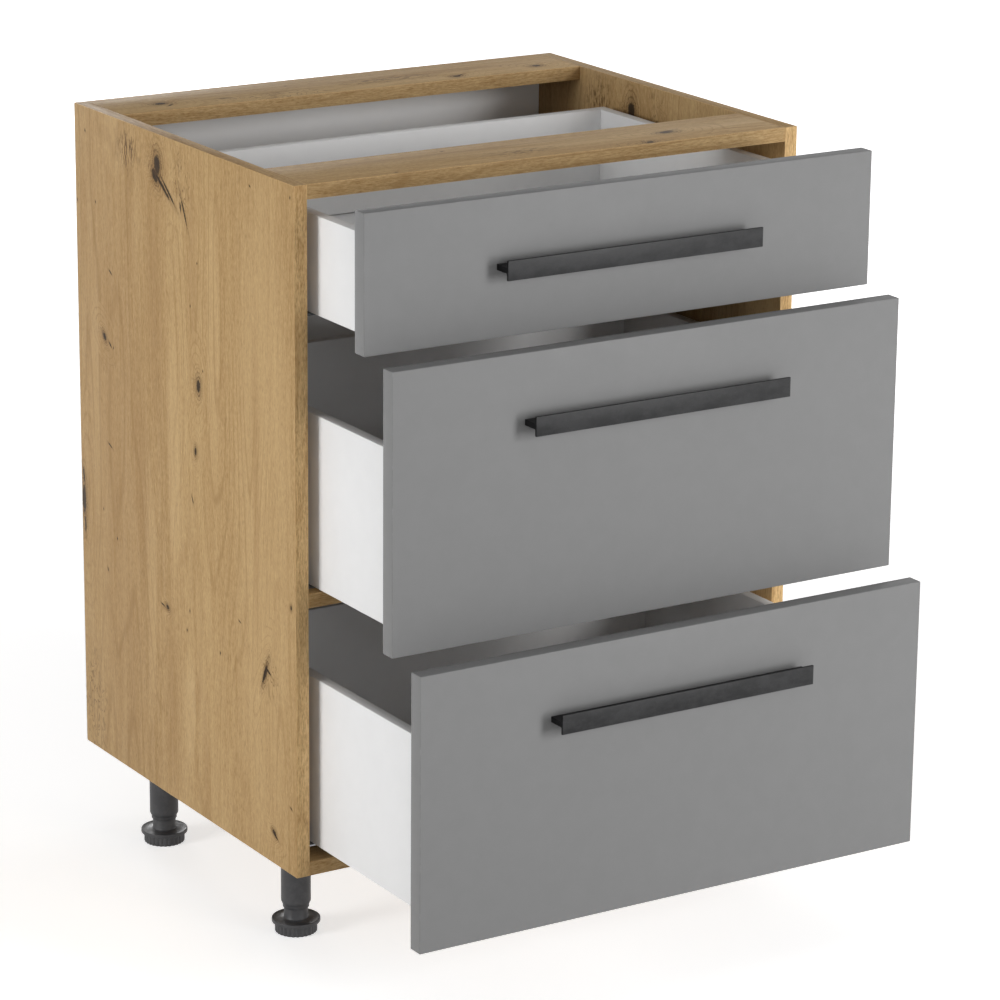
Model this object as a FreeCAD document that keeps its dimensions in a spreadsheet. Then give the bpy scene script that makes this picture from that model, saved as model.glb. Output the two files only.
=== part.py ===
"""Base cabinet with three drawers on concealed runners, standing on four adjustable legs.

Frame: +X to the right, +Y to the back, +Z up, millimetres. The origin is on the floor, under the
middle of the cabinet's bounding box with the drawers open as they are drawn.
"""
import FreeCAD, Part
import os

import Sketcher
from FreeCAD import Placement, Rotation, Vector

doc = FreeCAD.newDocument("base_cabinet")

# ---------------------------------------------------------------- driving dimensions
# alias, value in millimetres
DIMENSIONS = (
    # carcass
    ("width", 600.0),
    ("carcass_height", 720.0),
    ("panel_depth", 480.0),
    ("board", 15.0),
    ("back_board", 3.0),
    ("back_board_reveal", 1.0),
    ("top_rail_depth", 86.0),
    ("cross_rail_depth", 80.0),
    ("cross_rail_drop", 1.5),
    # drawer fronts
    ("front_board", 18.0),
    ("reveal_side", 2.0),
    ("reveal_top", 1.5),
    ("reveal_between", 2.5),
    ("reveal_bottom", 3.5),
    ("top_front_height", 140.0),
    # how far each drawer stands open, measured from the carcass to the back of its front
    ("opening_top", 115.0),
    ("opening_middle", 169.0),
    ("opening_bottom", 223.0),
    # drawer boxes
    ("box_length", 440.0),
    ("box_wall", 12.0),
    ("box_base", 4.0),
    ("box_base_recess", 14.0),
    ("box_groove", 6.0),
    ("box_groove_play", 0.25),
    ("top_box_height", 100.0),
    ("deep_box_height", 180.0),
    ("top_box_lift", 8.5),
    ("bottom_box_lift", 13.0),
    # handles
    ("handle_length", 300.0),
    ("handle_height", 20.0),
    ("handle_plate", 2.5),
    ("handle_stem", 6.0),
    ("handle_reach", 21.0),
    ("handle_drop", 69.0),
    ("handle_edge_radius", 0.6),
    ("handle_screw_spacing", 224.0),
    # runners
    ("runner_gap", 12.5),
    ("runner_length", 450.0),
    ("runner_setback", 15.0),
    ("runner_sheet", 1.5),
    ("runner_flange_height", 24.0),
    ("runner_arm_clearance", 1.1),
    ("runner_head_width", 12.0),
    ("runner_head_thickness", 3.0),
    ("channel_offset", 13.0),
    ("channel_width", 21.6),
    ("channel_height", 12.8),
    ("channel_sheet", 1.2),
    ("channel_lip", 6.3),
    ("front_tab_inset", 1.0),
    ("rear_tab_width", 16.0),
    ("rear_tab_rise", 20.0),
    ("rear_hook_width", 6.0),
    ("rear_hook_height", 4.0),
    ("rear_hook_reach", 8.0),
    ("system_hole_setback", 37.0),
    ("system_hole_pitch", 32.0),
    # roller carriages
    ("cage_length", 70.0),
    ("cage_sheet", 1.2),
    ("cage_margin", 1.1),
    ("cage_slot", 7.0),
    ("cage_at_full_travel", 60.0),
    ("roller_play", 0.3),
    ("roller_row_spacing", 27.0),
    ("roller_length", 9.0),
    ("short_roller_length", 3.2),
    ("rail_left_in_at_full_travel", 110.0),
    # legs
    ("leg_height", 100.0),
    ("leg_inset_side", 50.0),
    ("leg_inset_front", 93.0),
    ("leg_inset_back", 87.0),
    ("leg_plate_side", 58.0),
    ("leg_plate", 3.5),
    ("leg_plate_corner", 8.0),
    ("leg_tube_radius", 15.7),
    ("leg_tube_end", 66.3),
    ("leg_collar_radius", 13.9),
    ("leg_collar_start", 69.4),
    ("leg_collar_end", 72.5),
    ("leg_bore_radius", 11.0),
    ("leg_bore_depth", 58.0),
    ("leg_rib_root", 1.0),
    ("leg_rib_reach", 8.0),
    ("leg_rib_drop", 20.0),
    ("leg_rib", 2.4),
    # feet
    ("foot_seam", 0.3),
    ("foot_stem_length", 42.0),
    ("foot_stem_play", 0.3),
    ("foot_neck_radius", 12.6),
    ("foot_flange_radius", 25.6),
    ("foot_flange_top", 84.7),
    ("foot_flange", 4.2),
    ("foot_ring_radius", 22.3),
    # joinery: flat biscuits across the ends of the boards
    ("biscuit", 4.0),
    ("biscuit_length", 56.0),
    ("biscuit_width", 22.0),
    ("biscuit_tip", 14.0),
    ("biscuit_grip", 9.0),
    ("base_biscuit_inset", 150.0),
    # where the screws of a drawer stand
    ("fixing_inset", 40.0),
    ("fixing_above_base", 14.0),
    ("fixing_below_top", 16.0),
    ("base_screw_inset", 60.0),
    # where the screws of the back panel stand
    ("back_screw_from_end", 130.0),
    ("back_screw_from_side", 120.0),
)

# name: radius of the shank, length under the head, radius and height of the head;
# a handle screw has its length in the handle, and the boards it passes are added to it
SCREWS = {
    "runner_screw": (2.8, 12.0, 4.5, 2.0),
    "leg_screw": (1.8, 15.0, 3.6, 2.0),
    "back_screw": (1.4, 16.0, 3.2, 1.2),
    "front_screw": (1.9, 25.0, 3.8, 2.2),
    "tab_screw": (1.6, 10.0, 3.2, 1.6),
    "base_screw": (1.5, 20.0, 3.0, 1.4),
    "handle_screw": (2.0, 9.0, 4.2, 2.4),
}
SCREW_SIZES = ("shank", "length", "head", "head_height")
DIMENSIONS += tuple((f"{screw}_{kind}", number) for screw, numbers in SCREWS.items()
                    for kind, number in zip(SCREW_SIZES, numbers))

SCREW_FACES = 6
LEG_FACES = 24
STEM_FACES = 12
ROLLER_FACES = 8
ROLLER_ROWS = 2
RUNNER_HOLES = (0, 11)
SAME_SPOT = 0.001
SIDES = (("left", -1), ("right", 1))
DRAWERS = ("top", "middle", "bottom")


def add_sheet(name, cells):
    """A spreadsheet with one row per (alias, content)."""
    sheet = doc.addObject("Spreadsheet::Sheet", name)
    for row, (alias, content) in enumerate(cells, start=1):
        sheet.set(f"A{row}", alias)
        sheet.set(f"B{row}", content)
        sheet.setAlias(f"B{row}", alias)
    return sheet


DRIVING = dict(DIMENSIONS)
dims = add_sheet("dims", [(alias, str(value)) for alias, value in DIMENSIONS])


def words_of(text):
    """The words, numbers and signs of an expression."""
    return str(text).replace("(", " ( ").replace(")", " ) ").split()


def formula(text):
    """The cell of a worked-out place: driving dimensions are read from the other sheet."""
    return "=" + " ".join(f"dims.{word}" if word in DRIVING else word for word in words_of(text))


# ---------------------------------------------------------------- places worked out from them
LAYOUT = (
    # carcass
    ("front_y", "( opening_bottom + front_board + handle_reach - panel_depth - back_board ) / 2"),
    ("back_y", "front_y + panel_depth"),
    ("inner_x", "width / 2 - board"),
    ("inner_width", "width - 2 * board"),
    ("carcass_top", "leg_height + carcass_height"),
    # fronts
    ("front_width", "width - 2 * reveal_side"),
    ("deep_front_height", "( carcass_height - reveal_top - reveal_bottom - 2 * reveal_between"
                          " - top_front_height ) / 2"),
    ("bottom_front_z", "leg_height + reveal_bottom"),
    ("middle_front_z", "bottom_front_z + deep_front_height + reveal_between"),
    ("top_front_z", "middle_front_z + deep_front_height + reveal_between"),
    ("bottom_front_height", "deep_front_height"),
    ("middle_front_height", "deep_front_height"),
    ("cross_rail_z", "bottom_front_z + deep_front_height - cross_rail_drop"),
    # drawer boxes
    ("arm_drop", "runner_sheet + runner_arm_clearance"),
    ("bottom_box_z", "leg_height + board + bottom_box_lift"),
    ("middle_box_z", "cross_rail_z + board + arm_drop"),
    ("top_box_z", "top_front_z + top_box_lift"),
    ("bottom_box_height", "deep_box_height"),
    ("middle_box_height", "deep_box_height"),
    ("box_half_width", "inner_x - runner_gap"),
    ("box_inner_x", "box_half_width - box_wall"),
    ("box_inner_width", "2 * box_inner_x"),
    ("box_floor_top", "box_base_recess + box_base"),
    ("top_y", "front_y - opening_top"),
    ("middle_y", "front_y - opening_middle"),
    ("bottom_y", "front_y - opening_bottom"),
    # runners, measured from the panel's inner face and from the underside of the arm
    ("head_x", "runner_gap + box_wall + channel_offset"),
    ("channel_top_z", "arm_drop + box_base_recess"),
    ("head_z", "channel_top_z - channel_height / 2 - runner_head_thickness / 2"),
    ("head_top_z", "head_z + runner_head_thickness"),
    ("channel_x", "head_x - channel_width / 2"),
    ("roller_radius", "( channel_height - 2 * channel_sheet - runner_head_thickness"
                      " - 4 * roller_play ) / 4"),
    ("cage_height", "channel_height - 2 * channel_sheet - 2 * cage_margin"),
    ("cage_width", "channel_width - 2 * channel_sheet - 2 * cage_margin"),
    ("full_travel", "box_length - rail_left_in_at_full_travel"),
    # legs and feet, measured down from the carcass
    ("leg_x", "width / 2 - leg_inset_side"),
    ("leg_front_y", "front_y + leg_inset_front"),
    ("leg_rear_y", "back_y - leg_inset_back"),
    ("foot_neck_top", "leg_collar_end + foot_seam"),
    ("foot_stem_top", "foot_neck_top - foot_stem_length"),
    ("foot_flange_bottom", "foot_flange_top + foot_flange"),
)


PLACED = dict(LAYOUT)
layout = add_sheet("layout", [(alias, formula(text)) for alias, text in LAYOUT])
doc.recompute()


def size(name):
    """The present value of a driving dimension or of a worked-out place."""
    return float(dims.get(name) if name in DRIVING else layout.get(name))


def bound(text):
    """An expression for a property, reading the two sheets."""
    return " ".join(f"dims.{word}" if word in DRIVING else f"layout.{word}" if word in PLACED else word
                    for word in words_of(text))


def value(text):
    """The number that an expression stands for now."""
    words = [str(size(word)) if word in DRIVING or word in PLACED else word for word in words_of(text)]
    return FreeCAD.Units.Quantity(" ".join(words)).Value


parts = {}


def keep(label, piece):
    """Name a finished piece; its label names its file."""
    piece.Label = label
    parts[label] = piece
    return piece


def place(piece, x="0", y="0", z="0"):
    """Bind where a piece stands."""
    for axis, text in zip("xyz", (x, y, z)):
        piece.setExpression(f"Placement.Base.{axis}", bound(text))
    return piece


# ---------------------------------------------------------------- building blocks
def block(name, length, depth, height, x, y, z):
    """A rectangular board: sizes along X, Y and Z, and its lowest corner."""
    piece = doc.addObject("Part::Box", name)
    piece.setExpression("Length", bound(length))
    piece.setExpression("Width", bound(depth))
    piece.setExpression("Height", bound(height))
    return place(piece, x, y, z)


def prism(name, faces, radius, length, z="0"):
    """An upright bar with flat faces, its corners on a circle of the given radius."""
    piece = doc.addObject("Part::Prism", name)
    piece.Polygon = faces
    piece.setExpression("Circumradius", bound(radius))
    piece.setExpression("Height", bound(length))
    return place(piece, z=z)


def frustum(name, faces, low_radius, high_radius, low, high):
    """A tapering upright bar with flat faces, between two heights."""
    ends = []
    for end, radius, z in (("low", low_radius, low), ("high", high_radius, high)):
        ring = doc.addObject("Part::RegularPolygon", f"{name}_{end}")
        ring.Polygon = faces
        ring.setExpression("Circumradius", bound(radius))
        ends.append(place(ring, z=z))
    piece = doc.addObject("Part::Loft", name)
    piece.Sections = ends
    piece.Solid = True
    piece.Ruled = True
    return piece


def fused(name, *members):
    """Several touching solids made one."""
    piece = doc.addObject("Part::MultiFuse", name)
    piece.Shapes = members
    return piece


def cut(name, base, *tools):
    """A board with its machining: one cut for each tool."""
    for number, tool in enumerate(tools, start=1):
        result = doc.addObject("Part::Cut", f"{name}_cut_{number}")
        result.Base = base
        result.Tool = tool
        base = result
    return base


def mirrored(name, source):
    """The right-hand piece of a pair: the left-hand one across the cabinet's middle plane."""
    piece = doc.addObject("Part::Mirroring", name)
    piece.Source = source
    piece.Normal = Vector(1, 0, 0)
    piece.Base = Vector(0, 0, 0)
    return piece


def group(name, master, places):
    """Identical pieces as one compound: copies of the master, each at its own placement."""
    copies = []
    for spot in places:
        copy = master.Shape.copy()
        copy.Placement = spot.multiply(copy.Placement)
        copies.append(copy)
    piece = doc.addObject("Part::Feature", name)
    piece.Shape = Part.makeCompound(copies)
    return piece


def compound(name, members):
    """Several different pieces under one name."""
    piece = doc.addObject("Part::Compound", name)
    piece.Links = members
    return piece


def new_body(name):
    return doc.addObject("PartDesign::Body", name)


def new_sketch(body, plane, name):
    """An empty sketch on one of the body's own origin planes."""
    sketch = body.newObject("Sketcher::SketchObject", name)
    origin_plane = next(f for f in body.Origin.OriginFeatures if f.Role == plane)
    sketch.AttachmentSupport = (origin_plane, "")
    sketch.MapMode = "FlatFace"
    return sketch


def outline(sketch, corners):
    """A closed outline of straight edges; both coordinates of each corner are bound."""
    points = [Vector(value(u), value(v), 0) for u, v in corners]
    count = len(points)
    for here, there in zip(points, points[1:] + points[:1]):
        sketch.addGeometry(Part.LineSegment(here, there), False)
    for edge in range(count):
        sketch.addConstraint(Sketcher.Constraint("Coincident", edge, 2, (edge + 1) % count, 1))
    for edge, corner in enumerate(corners):
        for kind, text, axis in (("DistanceX", corner[0], -2), ("DistanceY", corner[1], -1)):
            if str(text) == "0":
                sketch.addConstraint(Sketcher.Constraint("PointOnObject", edge, 1, axis))
                continue
            index = sketch.addConstraint(
                Sketcher.Constraint(kind, -1, 1, edge, 1, value(text)))
            sketch.setExpression(f"Constraints[{index}]", bound(text))
    return sketch


def pad(body, sketch, length, reversed_=False, midplane=False):
    feature = body.newObject("PartDesign::Pad", sketch.Name + "_pad")
    feature.Profile = sketch
    feature.setExpression("Length", bound(length))
    feature.Reversed = reversed_
    if midplane:
        feature.Midplane = True
    body.Tip = feature
    return feature


def edges_along(feature, direction, points):
    """Names of the straight edges along one axis that pass through the given spots.

    A spot gives the two coordinates of the edge across that axis, in the order X, Y, Z.
    """
    axes = [axis for axis in "xyz" if axis != direction]
    names = []
    for number, edge in enumerate(feature.Shape.Edges, start=1):
        ends = [vertex.Point for vertex in edge.Vertexes]
        if len(ends) != 2:
            continue
        start, end = [[getattr(point, axis) for axis in axes] for point in ends]
        for spot in points:
            if all(abs(a - s) < SAME_SPOT and abs(b - s) < SAME_SPOT
                   for a, b, s in zip(start, end, spot)):
                names.append(f"Edge{number}")
    return names


def rounded(body, feature, direction, corners, radius):
    """Fillet the edges of a feature that run along one axis through the given corners."""
    doc.recompute()
    spots = [(value(u), value(v)) for u, v in corners]
    fillet = body.newObject("PartDesign::Fillet", feature.Name + "_rounded")
    fillet.Base = (feature, edges_along(feature, direction, spots))
    fillet.setExpression("Radius", bound(radius))
    body.Tip = fillet
    return fillet


# ---------------------------------------------------------------- fasteners
# Each master stands with its point up along +Z; the head's bearing face is at the origin.
ALONG_PLUS_X = Rotation(Vector(0, 1, 0), 90)
ALONG_MINUS_X = Rotation(Vector(0, 1, 0), -90)
ALONG_MINUS_Y = Rotation(Vector(1, 0, 0), 90)
UPWARD = Rotation()


def make_screw(name, length=None, sunk=False, kind=None):
    """A screw with few faces; a sunk one has its head above the origin, flush with the board."""
    kind = kind or name
    length = length or f"{kind}_length"
    shank = prism(name + "_shank", SCREW_FACES, f"{kind}_shank", length)
    head = prism(name + "_head", SCREW_FACES, f"{kind}_head", f"{kind}_head_height",
                 z="0" if sunk else f"0 - {kind}_head_height")
    return fused(name, shank, head)


runner_screw = make_screw("runner_screw")
leg_screw = make_screw("leg_screw")
back_screw = make_screw("back_screw", sunk=True)
front_screw = make_screw("front_screw")
tab_screw = make_screw("tab_screw")
base_screw = make_screw("base_screw", sunk=True)


def make_biscuit():
    """A flat biscuit with tapering ends, lying across the joint between two boards."""
    body = new_body("biscuit_master")
    far, wide = "biscuit_length / 2", "biscuit_width - biscuit_grip"
    near, middle = "biscuit_length / 2 - biscuit_tip", "biscuit_width / 2 - biscuit_grip"
    corners = [
        ("0 - biscuit_grip", "0 - ( " + near + " )"), (middle, "0 - " + far),
        (wide, "0 - ( " + near + " )"), (wide, near), (middle, far), ("0 - biscuit_grip", near)]
    sketch = outline(new_sketch(body, "XY_Plane", "biscuit_outline"), corners)
    pad(body, sketch, "biscuit", midplane=True)
    return body


def make_joinery():
    """The biscuits between the side panels and the boards that cross the carcass."""
    front, back = size("front_y"), size("back_y")
    top = size("carcass_top") - size("board")
    inset = size("base_biscuit_inset")
    rail, cross = size("top_rail_depth") / 2, size("cross_rail_depth") / 2
    joints = ((size("leg_height"), front + inset), (size("leg_height"), back - inset),
              (top, front + rail), (top, back - rail), (size("cross_rail_z"), front + cross))
    master = make_biscuit()
    doc.recompute()
    spots = []
    for underside, y in joints:
        for _, sign in SIDES:
            inward = Rotation(Vector(0, 0, 1), 0 if sign < 0 else 180)
            middle = Vector(sign * size("inner_x"), y, underside + size("board") / 2)
            spots.append(Placement(middle, inward))
    keep("biscuits", group("biscuits", master, spots))


make_joinery()


# ---------------------------------------------------------------- runners
def make_cabinet_runner(drawer):
    """The fixed member: a bent strip with a mounting flange, an arm and a T-shaped head."""
    name = f"cabinet_runner_{drawer}"
    body = new_body(name)
    web_in, web_out = "head_x - runner_sheet / 2", "head_x + runner_sheet / 2"
    head_in, head_out = "head_x - runner_head_width / 2", "head_x + runner_head_width / 2"
    corners = [
        ("0", "0"), (web_out, "0"), (web_out, "head_z"), (head_out, "head_z"),
        (head_out, "head_top_z"), (head_in, "head_top_z"), (head_in, "head_z"),
        (web_in, "head_z"), (web_in, "runner_sheet"), ("runner_sheet", "runner_sheet"),
        ("runner_sheet", "runner_flange_height"), ("0", "runner_flange_height")]
    sketch = outline(new_sketch(body, "XZ_Plane", name + "_section"), corners)
    strip = pad(body, sketch, "runner_length", reversed_=True)
    rounded(body, strip, "y", [("0", "0"), (web_out, "0")], "runner_sheet")
    place(body, "0 - inner_x", "front_y + runner_setback", f"{drawer}_box_z - arm_drop")
    return body


def make_drawer_rail(drawer):
    """The moving member: a channel that hangs from the box and wraps around the head."""
    name = f"drawer_rail_{drawer}"
    body = new_body(name)
    far, low, high = "channel_width - channel_sheet", "channel_sheet", "channel_height - channel_sheet"
    corners = [
        ("0", "0"), ("channel_lip", "0"), ("channel_lip", low), (low, low), (low, high),
        (far, high), (far, low), ("channel_width - channel_lip", low),
        ("channel_width - channel_lip", "0"), ("channel_width", "0"),
        ("channel_width", "channel_height"), ("0", "channel_height")]
    sketch = outline(new_sketch(body, "XZ_Plane", name + "_section"), corners)
    pad(body, sketch, "box_length - box_wall", reversed_=True)
    x, y = "0 - inner_x + channel_x", f"{drawer}_y + box_wall"
    z = f"{drawer}_box_z + box_base_recess - channel_height"
    place(body, x, y, z)
    rear_y, middle_x = f"{drawer}_y + box_length", x + " + channel_width / 2"
    front_tab = block(name + "_front_tab", "channel_width - 2 * front_tab_inset", "channel_sheet",
                      "channel_height", x + " + front_tab_inset", y, z)
    rear_tab = block(name + "_rear_tab", "rear_tab_width", "channel_sheet",
                     "channel_sheet + rear_tab_rise", middle_x + " - rear_tab_width / 2", rear_y,
                     z + " + channel_height - channel_sheet")
    rear_hook = block(name + "_rear_hook", "rear_hook_width", "rear_hook_reach + channel_sheet",
                      "rear_hook_height", middle_x + " - rear_hook_width / 2",
                      rear_y + " - rear_hook_reach",
                      z + " + channel_height + rear_tab_rise - 2 * rear_hook_height")
    return fused(name + "_with_tabs", body, front_tab, rear_tab, rear_hook)


def make_carriage_master():
    """One roller cage, with its rollers, centred on its own middle in X and Y, foot at z = 0."""
    body = new_body("roller_cage")
    wall, far = "cage_sheet", "cage_width - cage_sheet"
    lip_in, lip_out = "( cage_width - cage_slot ) / 2", "( cage_width + cage_slot ) / 2"
    high = "cage_height - cage_sheet"
    corners = [
        ("0", "0"), (lip_in, "0"), (lip_in, wall), (wall, wall), (wall, high), (far, high),
        (far, wall), (lip_out, wall), (lip_out, "0"), ("cage_width", "0"),
        ("cage_width", "cage_height"), ("0", "cage_height")]
    sketch = outline(new_sketch(body, "XZ_Plane", "roller_cage_section"), corners)
    pad(body, sketch, "cage_length", reversed_=True)
    place(body, "0 - cage_width / 2", "0 - cage_length / 2", "0")
    radius, play = size("roller_radius"), size("roller_play")
    margin = size("cage_margin")
    long_roller = prism("long_roller", ROLLER_FACES, "roller_radius", "roller_length")
    short_roller = prism("short_roller", ROLLER_FACES, "roller_radius", "short_roller_length")
    doc.recompute()
    upper = size("cage_height") + margin - play - radius
    lower = play + radius - margin
    lip_middle = (size("cage_width") + size("cage_slot")) / 4
    rows = [(row - (ROLLER_ROWS - 1) / 2) * size("roller_row_spacing") for row in range(ROLLER_ROWS)]
    rollers, windows = [], []
    for y in rows:
        spots = [(long_roller, size("roller_length"), 0.0, upper)]
        spots += [(short_roller, size("short_roller_length"), sign * lip_middle, lower)
                  for sign in (-1, 1)]
        for roller, length, x, z in spots:
            copy = roller.Shape.copy()
            copy.Placement = Placement(Vector(x - length / 2, y, z), ALONG_PLUS_X)
            rollers.append(copy)
            clear = length + 2 * play
            side = 2 * (radius + play)
            windows.append(Part.makeBox(clear, side, side,
                                        Vector(x - clear / 2, y - side / 2, z - side / 2)))
    cage = doc.addObject("Part::Feature", "roller_carriage")
    cage.Shape = Part.makeCompound([body.Shape.cut(Part.makeCompound(windows))] + rollers)
    return cage


def carriage_spots(drawer):
    """Where the two roller carriages of a drawer stand: they move half as far as the drawer."""
    opened = size("front_y") - size(f"{drawer}_y")
    y = size("front_y") + size("cage_at_full_travel") + (size("full_travel") - opened) / 2
    channel_z = size(f"{drawer}_box_z") + size("box_base_recess") - size("channel_height")
    z = channel_z + size("channel_sheet") + size("cage_margin")
    reach = size("inner_x") - size("head_x")
    return [Placement(Vector(sign * reach, y, z), UPWARD) for _, sign in SIDES]


def runner_screw_spots(drawer):
    """Screws through the flanges of both fixed members, in the panels' row of system holes."""
    z = (size(f"{drawer}_box_z") - size("arm_drop")
         + (size("runner_sheet") + size("runner_flange_height")) / 2)
    seat = size("inner_x") - size("runner_sheet")
    start = size("front_y") + size("system_hole_setback")
    rows = [start + hole * size("system_hole_pitch") for hole in RUNNER_HOLES]
    return [Placement(Vector(sign * seat, y, z), ALONG_MINUS_X if sign < 0 else ALONG_PLUS_X)
            for _, sign in SIDES for y in rows]


def make_runners():
    """Fixed members and their screws, and the roller carriages, of every drawer."""
    carriage = make_carriage_master()
    doc.recompute()
    screws = []
    for drawer in DRAWERS:
        spots = runner_screw_spots(drawer)
        screws += spots
        bores = group(f"runner_screw_bores_{drawer}", runner_screw, spots)
        left = keep(f"cabinet_runner_{drawer}_left",
                    cut(f"runner_{drawer}_left", make_cabinet_runner(drawer), bores))
        keep(f"cabinet_runner_{drawer}_right", mirrored(f"runner_{drawer}_right", left))
        keep(f"drawer_{drawer}_carriages",
             group(f"carriages_{drawer}", carriage, carriage_spots(drawer)))
    keep("runner_screws", group("runner_screws", runner_screw, screws))


make_runners()
doc.recompute()


# ---------------------------------------------------------------- carcass
def make_side_panels():
    for side, sign in SIDES:
        x = "0 - width / 2" if sign < 0 else "inner_x"
        blank = block(f"side_panel_{side}_blank", "board", "panel_depth", "carcass_height",
                      x, "front_y", "leg_height")
        keep(f"side_panel_{side}",
             cut(f"side_panel_{side}", blank, parts["biscuits"], parts["runner_screws"],
                 parts["back_panel_screws"]))


def make_cross_boards():
    """The boards between the side panels, each slotted for its biscuits."""
    boards = (
        ("bottom_panel", "panel_depth", "front_y", "leg_height"),
        ("top_rail_front", "top_rail_depth", "front_y", "carcass_top - board"),
        ("top_rail_rear", "top_rail_depth", "back_y - top_rail_depth", "carcass_top - board"),
        ("cross_rail", "cross_rail_depth", "front_y", "cross_rail_z"),
    )
    for name, depth, y, z in boards:
        blank = block(name + "_blank", "inner_width", depth, "board", "0 - inner_x", y, z)
        tools = [parts["biscuits"]]
        if name in ("bottom_panel", "top_rail_rear"):
            tools.append(parts["back_panel_screws"])
        if name == "bottom_panel":
            tools.append(parts["leg_screws"])
        keep(name, cut(name, blank, *tools))


def make_back_panel_screws():
    """Screws through the back panel into the edges of the boards."""
    plane = size("back_y") + size("back_board")
    low, high = size("leg_height"), size("carcass_top")
    half_board = size("board") / 2
    edge_x = size("width") / 2 - half_board
    row_x = size("width") / 2 - size("back_screw_from_side")
    end = size("back_screw_from_end")
    places = [(sign * edge_x, z) for sign in (-1, 1) for z in (low + end, high - end)]
    places += [(sign * row_x, z) for sign in (-1, 1) for z in (low + half_board, high - half_board)]
    spots = [Placement(Vector(x, plane, z), ALONG_MINUS_Y) for x, z in places]
    keep("back_panel_screws", group("back_panel_screws", back_screw, spots))


def make_back_panel():
    blank = block("back_panel_blank", "width - 2 * back_board_reveal", "back_board",
                  "carcass_height - 2 * back_board_reveal", "0 - width / 2 + back_board_reveal",
                  "back_y", "leg_height + back_board_reveal")
    keep("back_panel", cut("back_panel", blank, parts["back_panel_screws"]))


# ---------------------------------------------------------------- legs
LEGS = [(f"{row}_{side}", sign, f"leg_{row}_y") for row in ("front", "rear") for side, sign in SIDES]


def make_leg_plate(name):
    """The plate with cut corners that meets the cabinet, and four ribs that stiffen the tube."""
    body = new_body(f"leg_{name}_plate")
    half, cut_off = "leg_plate_side / 2", "leg_plate_side / 2 - leg_plate_corner"
    quarter = [(half, cut_off), (cut_off, half)]
    corners = quarter + [("0 - ( " + u + " )", v) for u, v in reversed(quarter)]
    corners += [(u, "0 - ( " + v + " )") for u, v in reversed(corners)]
    plate_sketch = outline(new_sketch(body, "XY_Plane", f"leg_{name}_plate_outline"), corners)
    pad(body, plate_sketch, "leg_plate", reversed_=True)
    inner, outer = "leg_tube_radius - leg_rib_root", "leg_tube_radius + leg_rib_reach"
    rib_sketch = outline(new_sketch(body, "XZ_Plane", f"leg_{name}_rib"), [
        (inner, "0 - leg_plate / 2"), (outer, "0 - leg_plate / 2"), (outer, "0 - leg_plate"),
        ("leg_tube_radius", "0 - leg_rib_drop"), (inner, "0 - leg_rib_drop")])
    rib = pad(body, rib_sketch, "leg_rib", midplane=True)
    pattern = body.newObject("PartDesign::PolarPattern", f"leg_{name}_ribs")
    pattern.Originals = [rib]
    z_axis = next(f for f in body.Origin.OriginFeatures if f.Role == "Z_Axis")
    pattern.Axis = (z_axis, [""])
    pattern.Angle = 360.0
    pattern.Occurrences = 4
    body.Tip = pattern
    return body


def make_leg(name, sign, y):
    """A moulded leg: plate, ribs, and a hollow tube that steps in to a collar at its foot."""
    tube = prism(f"leg_{name}_tube", LEG_FACES, "leg_tube_radius", "leg_tube_end - leg_plate / 2",
                 z="0 - leg_tube_end")
    taper = frustum(f"leg_{name}_taper", LEG_FACES, "leg_collar_radius", "leg_tube_radius",
                    "0 - leg_collar_start", "0 - leg_tube_end")
    collar = prism(f"leg_{name}_collar", LEG_FACES, "leg_collar_radius",
                   "leg_collar_end - leg_collar_start", z="0 - leg_collar_end")
    bore = prism(f"leg_{name}_bore", STEM_FACES, "leg_bore_radius", "leg_bore_depth",
                 z="0 - leg_collar_end")
    moulding = fused(f"leg_{name}_moulding", make_leg_plate(name), tube, taper, collar)
    leg = cut(f"leg_{name}_bored", moulding, bore)
    return place(leg, "leg_x" if sign > 0 else "0 - leg_x", y, "leg_height")


def make_foot(name, sign, y):
    """The screw foot: stem, neck, flange and a ring to turn it by."""
    steps = (
        ("ring", LEG_FACES, "foot_ring_radius", "leg_height", "foot_flange_bottom"),
        ("flange", LEG_FACES, "foot_flange_radius", "foot_flange_bottom", "foot_flange_top"),
        ("neck", LEG_FACES, "foot_neck_radius", "foot_flange_top", "foot_neck_top"),
        ("stem", STEM_FACES, "leg_bore_radius - foot_stem_play", "foot_neck_top", "foot_stem_top"),
    )
    members = [prism(f"foot_{name}_{step}", faces, radius, f"{low} - {high}", z=f"0 - {low}")
               for step, faces, radius, low, high in steps]
    foot = fused(f"foot_{name}_turned", *members)
    return place(foot, "leg_x" if sign > 0 else "0 - leg_x", y, "leg_height")


def make_leg_screws():
    """Four screws up through each leg's plate into the bottom panel."""
    spots = []
    offset = size("leg_plate_side") / 2 - size("leg_plate_corner")
    under = size("leg_height") - size("leg_plate")
    for _, sign, y in LEGS:
        for dx in (-offset, offset):
            for dy in (-offset, offset):
                spots.append(Placement(Vector(sign * size("leg_x") + dx, size(y) + dy, under), UPWARD))
    keep("leg_screws", group("leg_screws", leg_screw, spots))


def make_legs():
    make_leg_screws()
    for name, sign, y in LEGS:
        keep(f"leg_{name}", cut(f"leg_{name}", make_leg(name, sign, y), parts["leg_screws"]))
        keep(f"foot_{name}", make_foot(name, sign, y))


make_back_panel_screws()
make_legs()
make_side_panels()
make_cross_boards()
make_back_panel()


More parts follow.
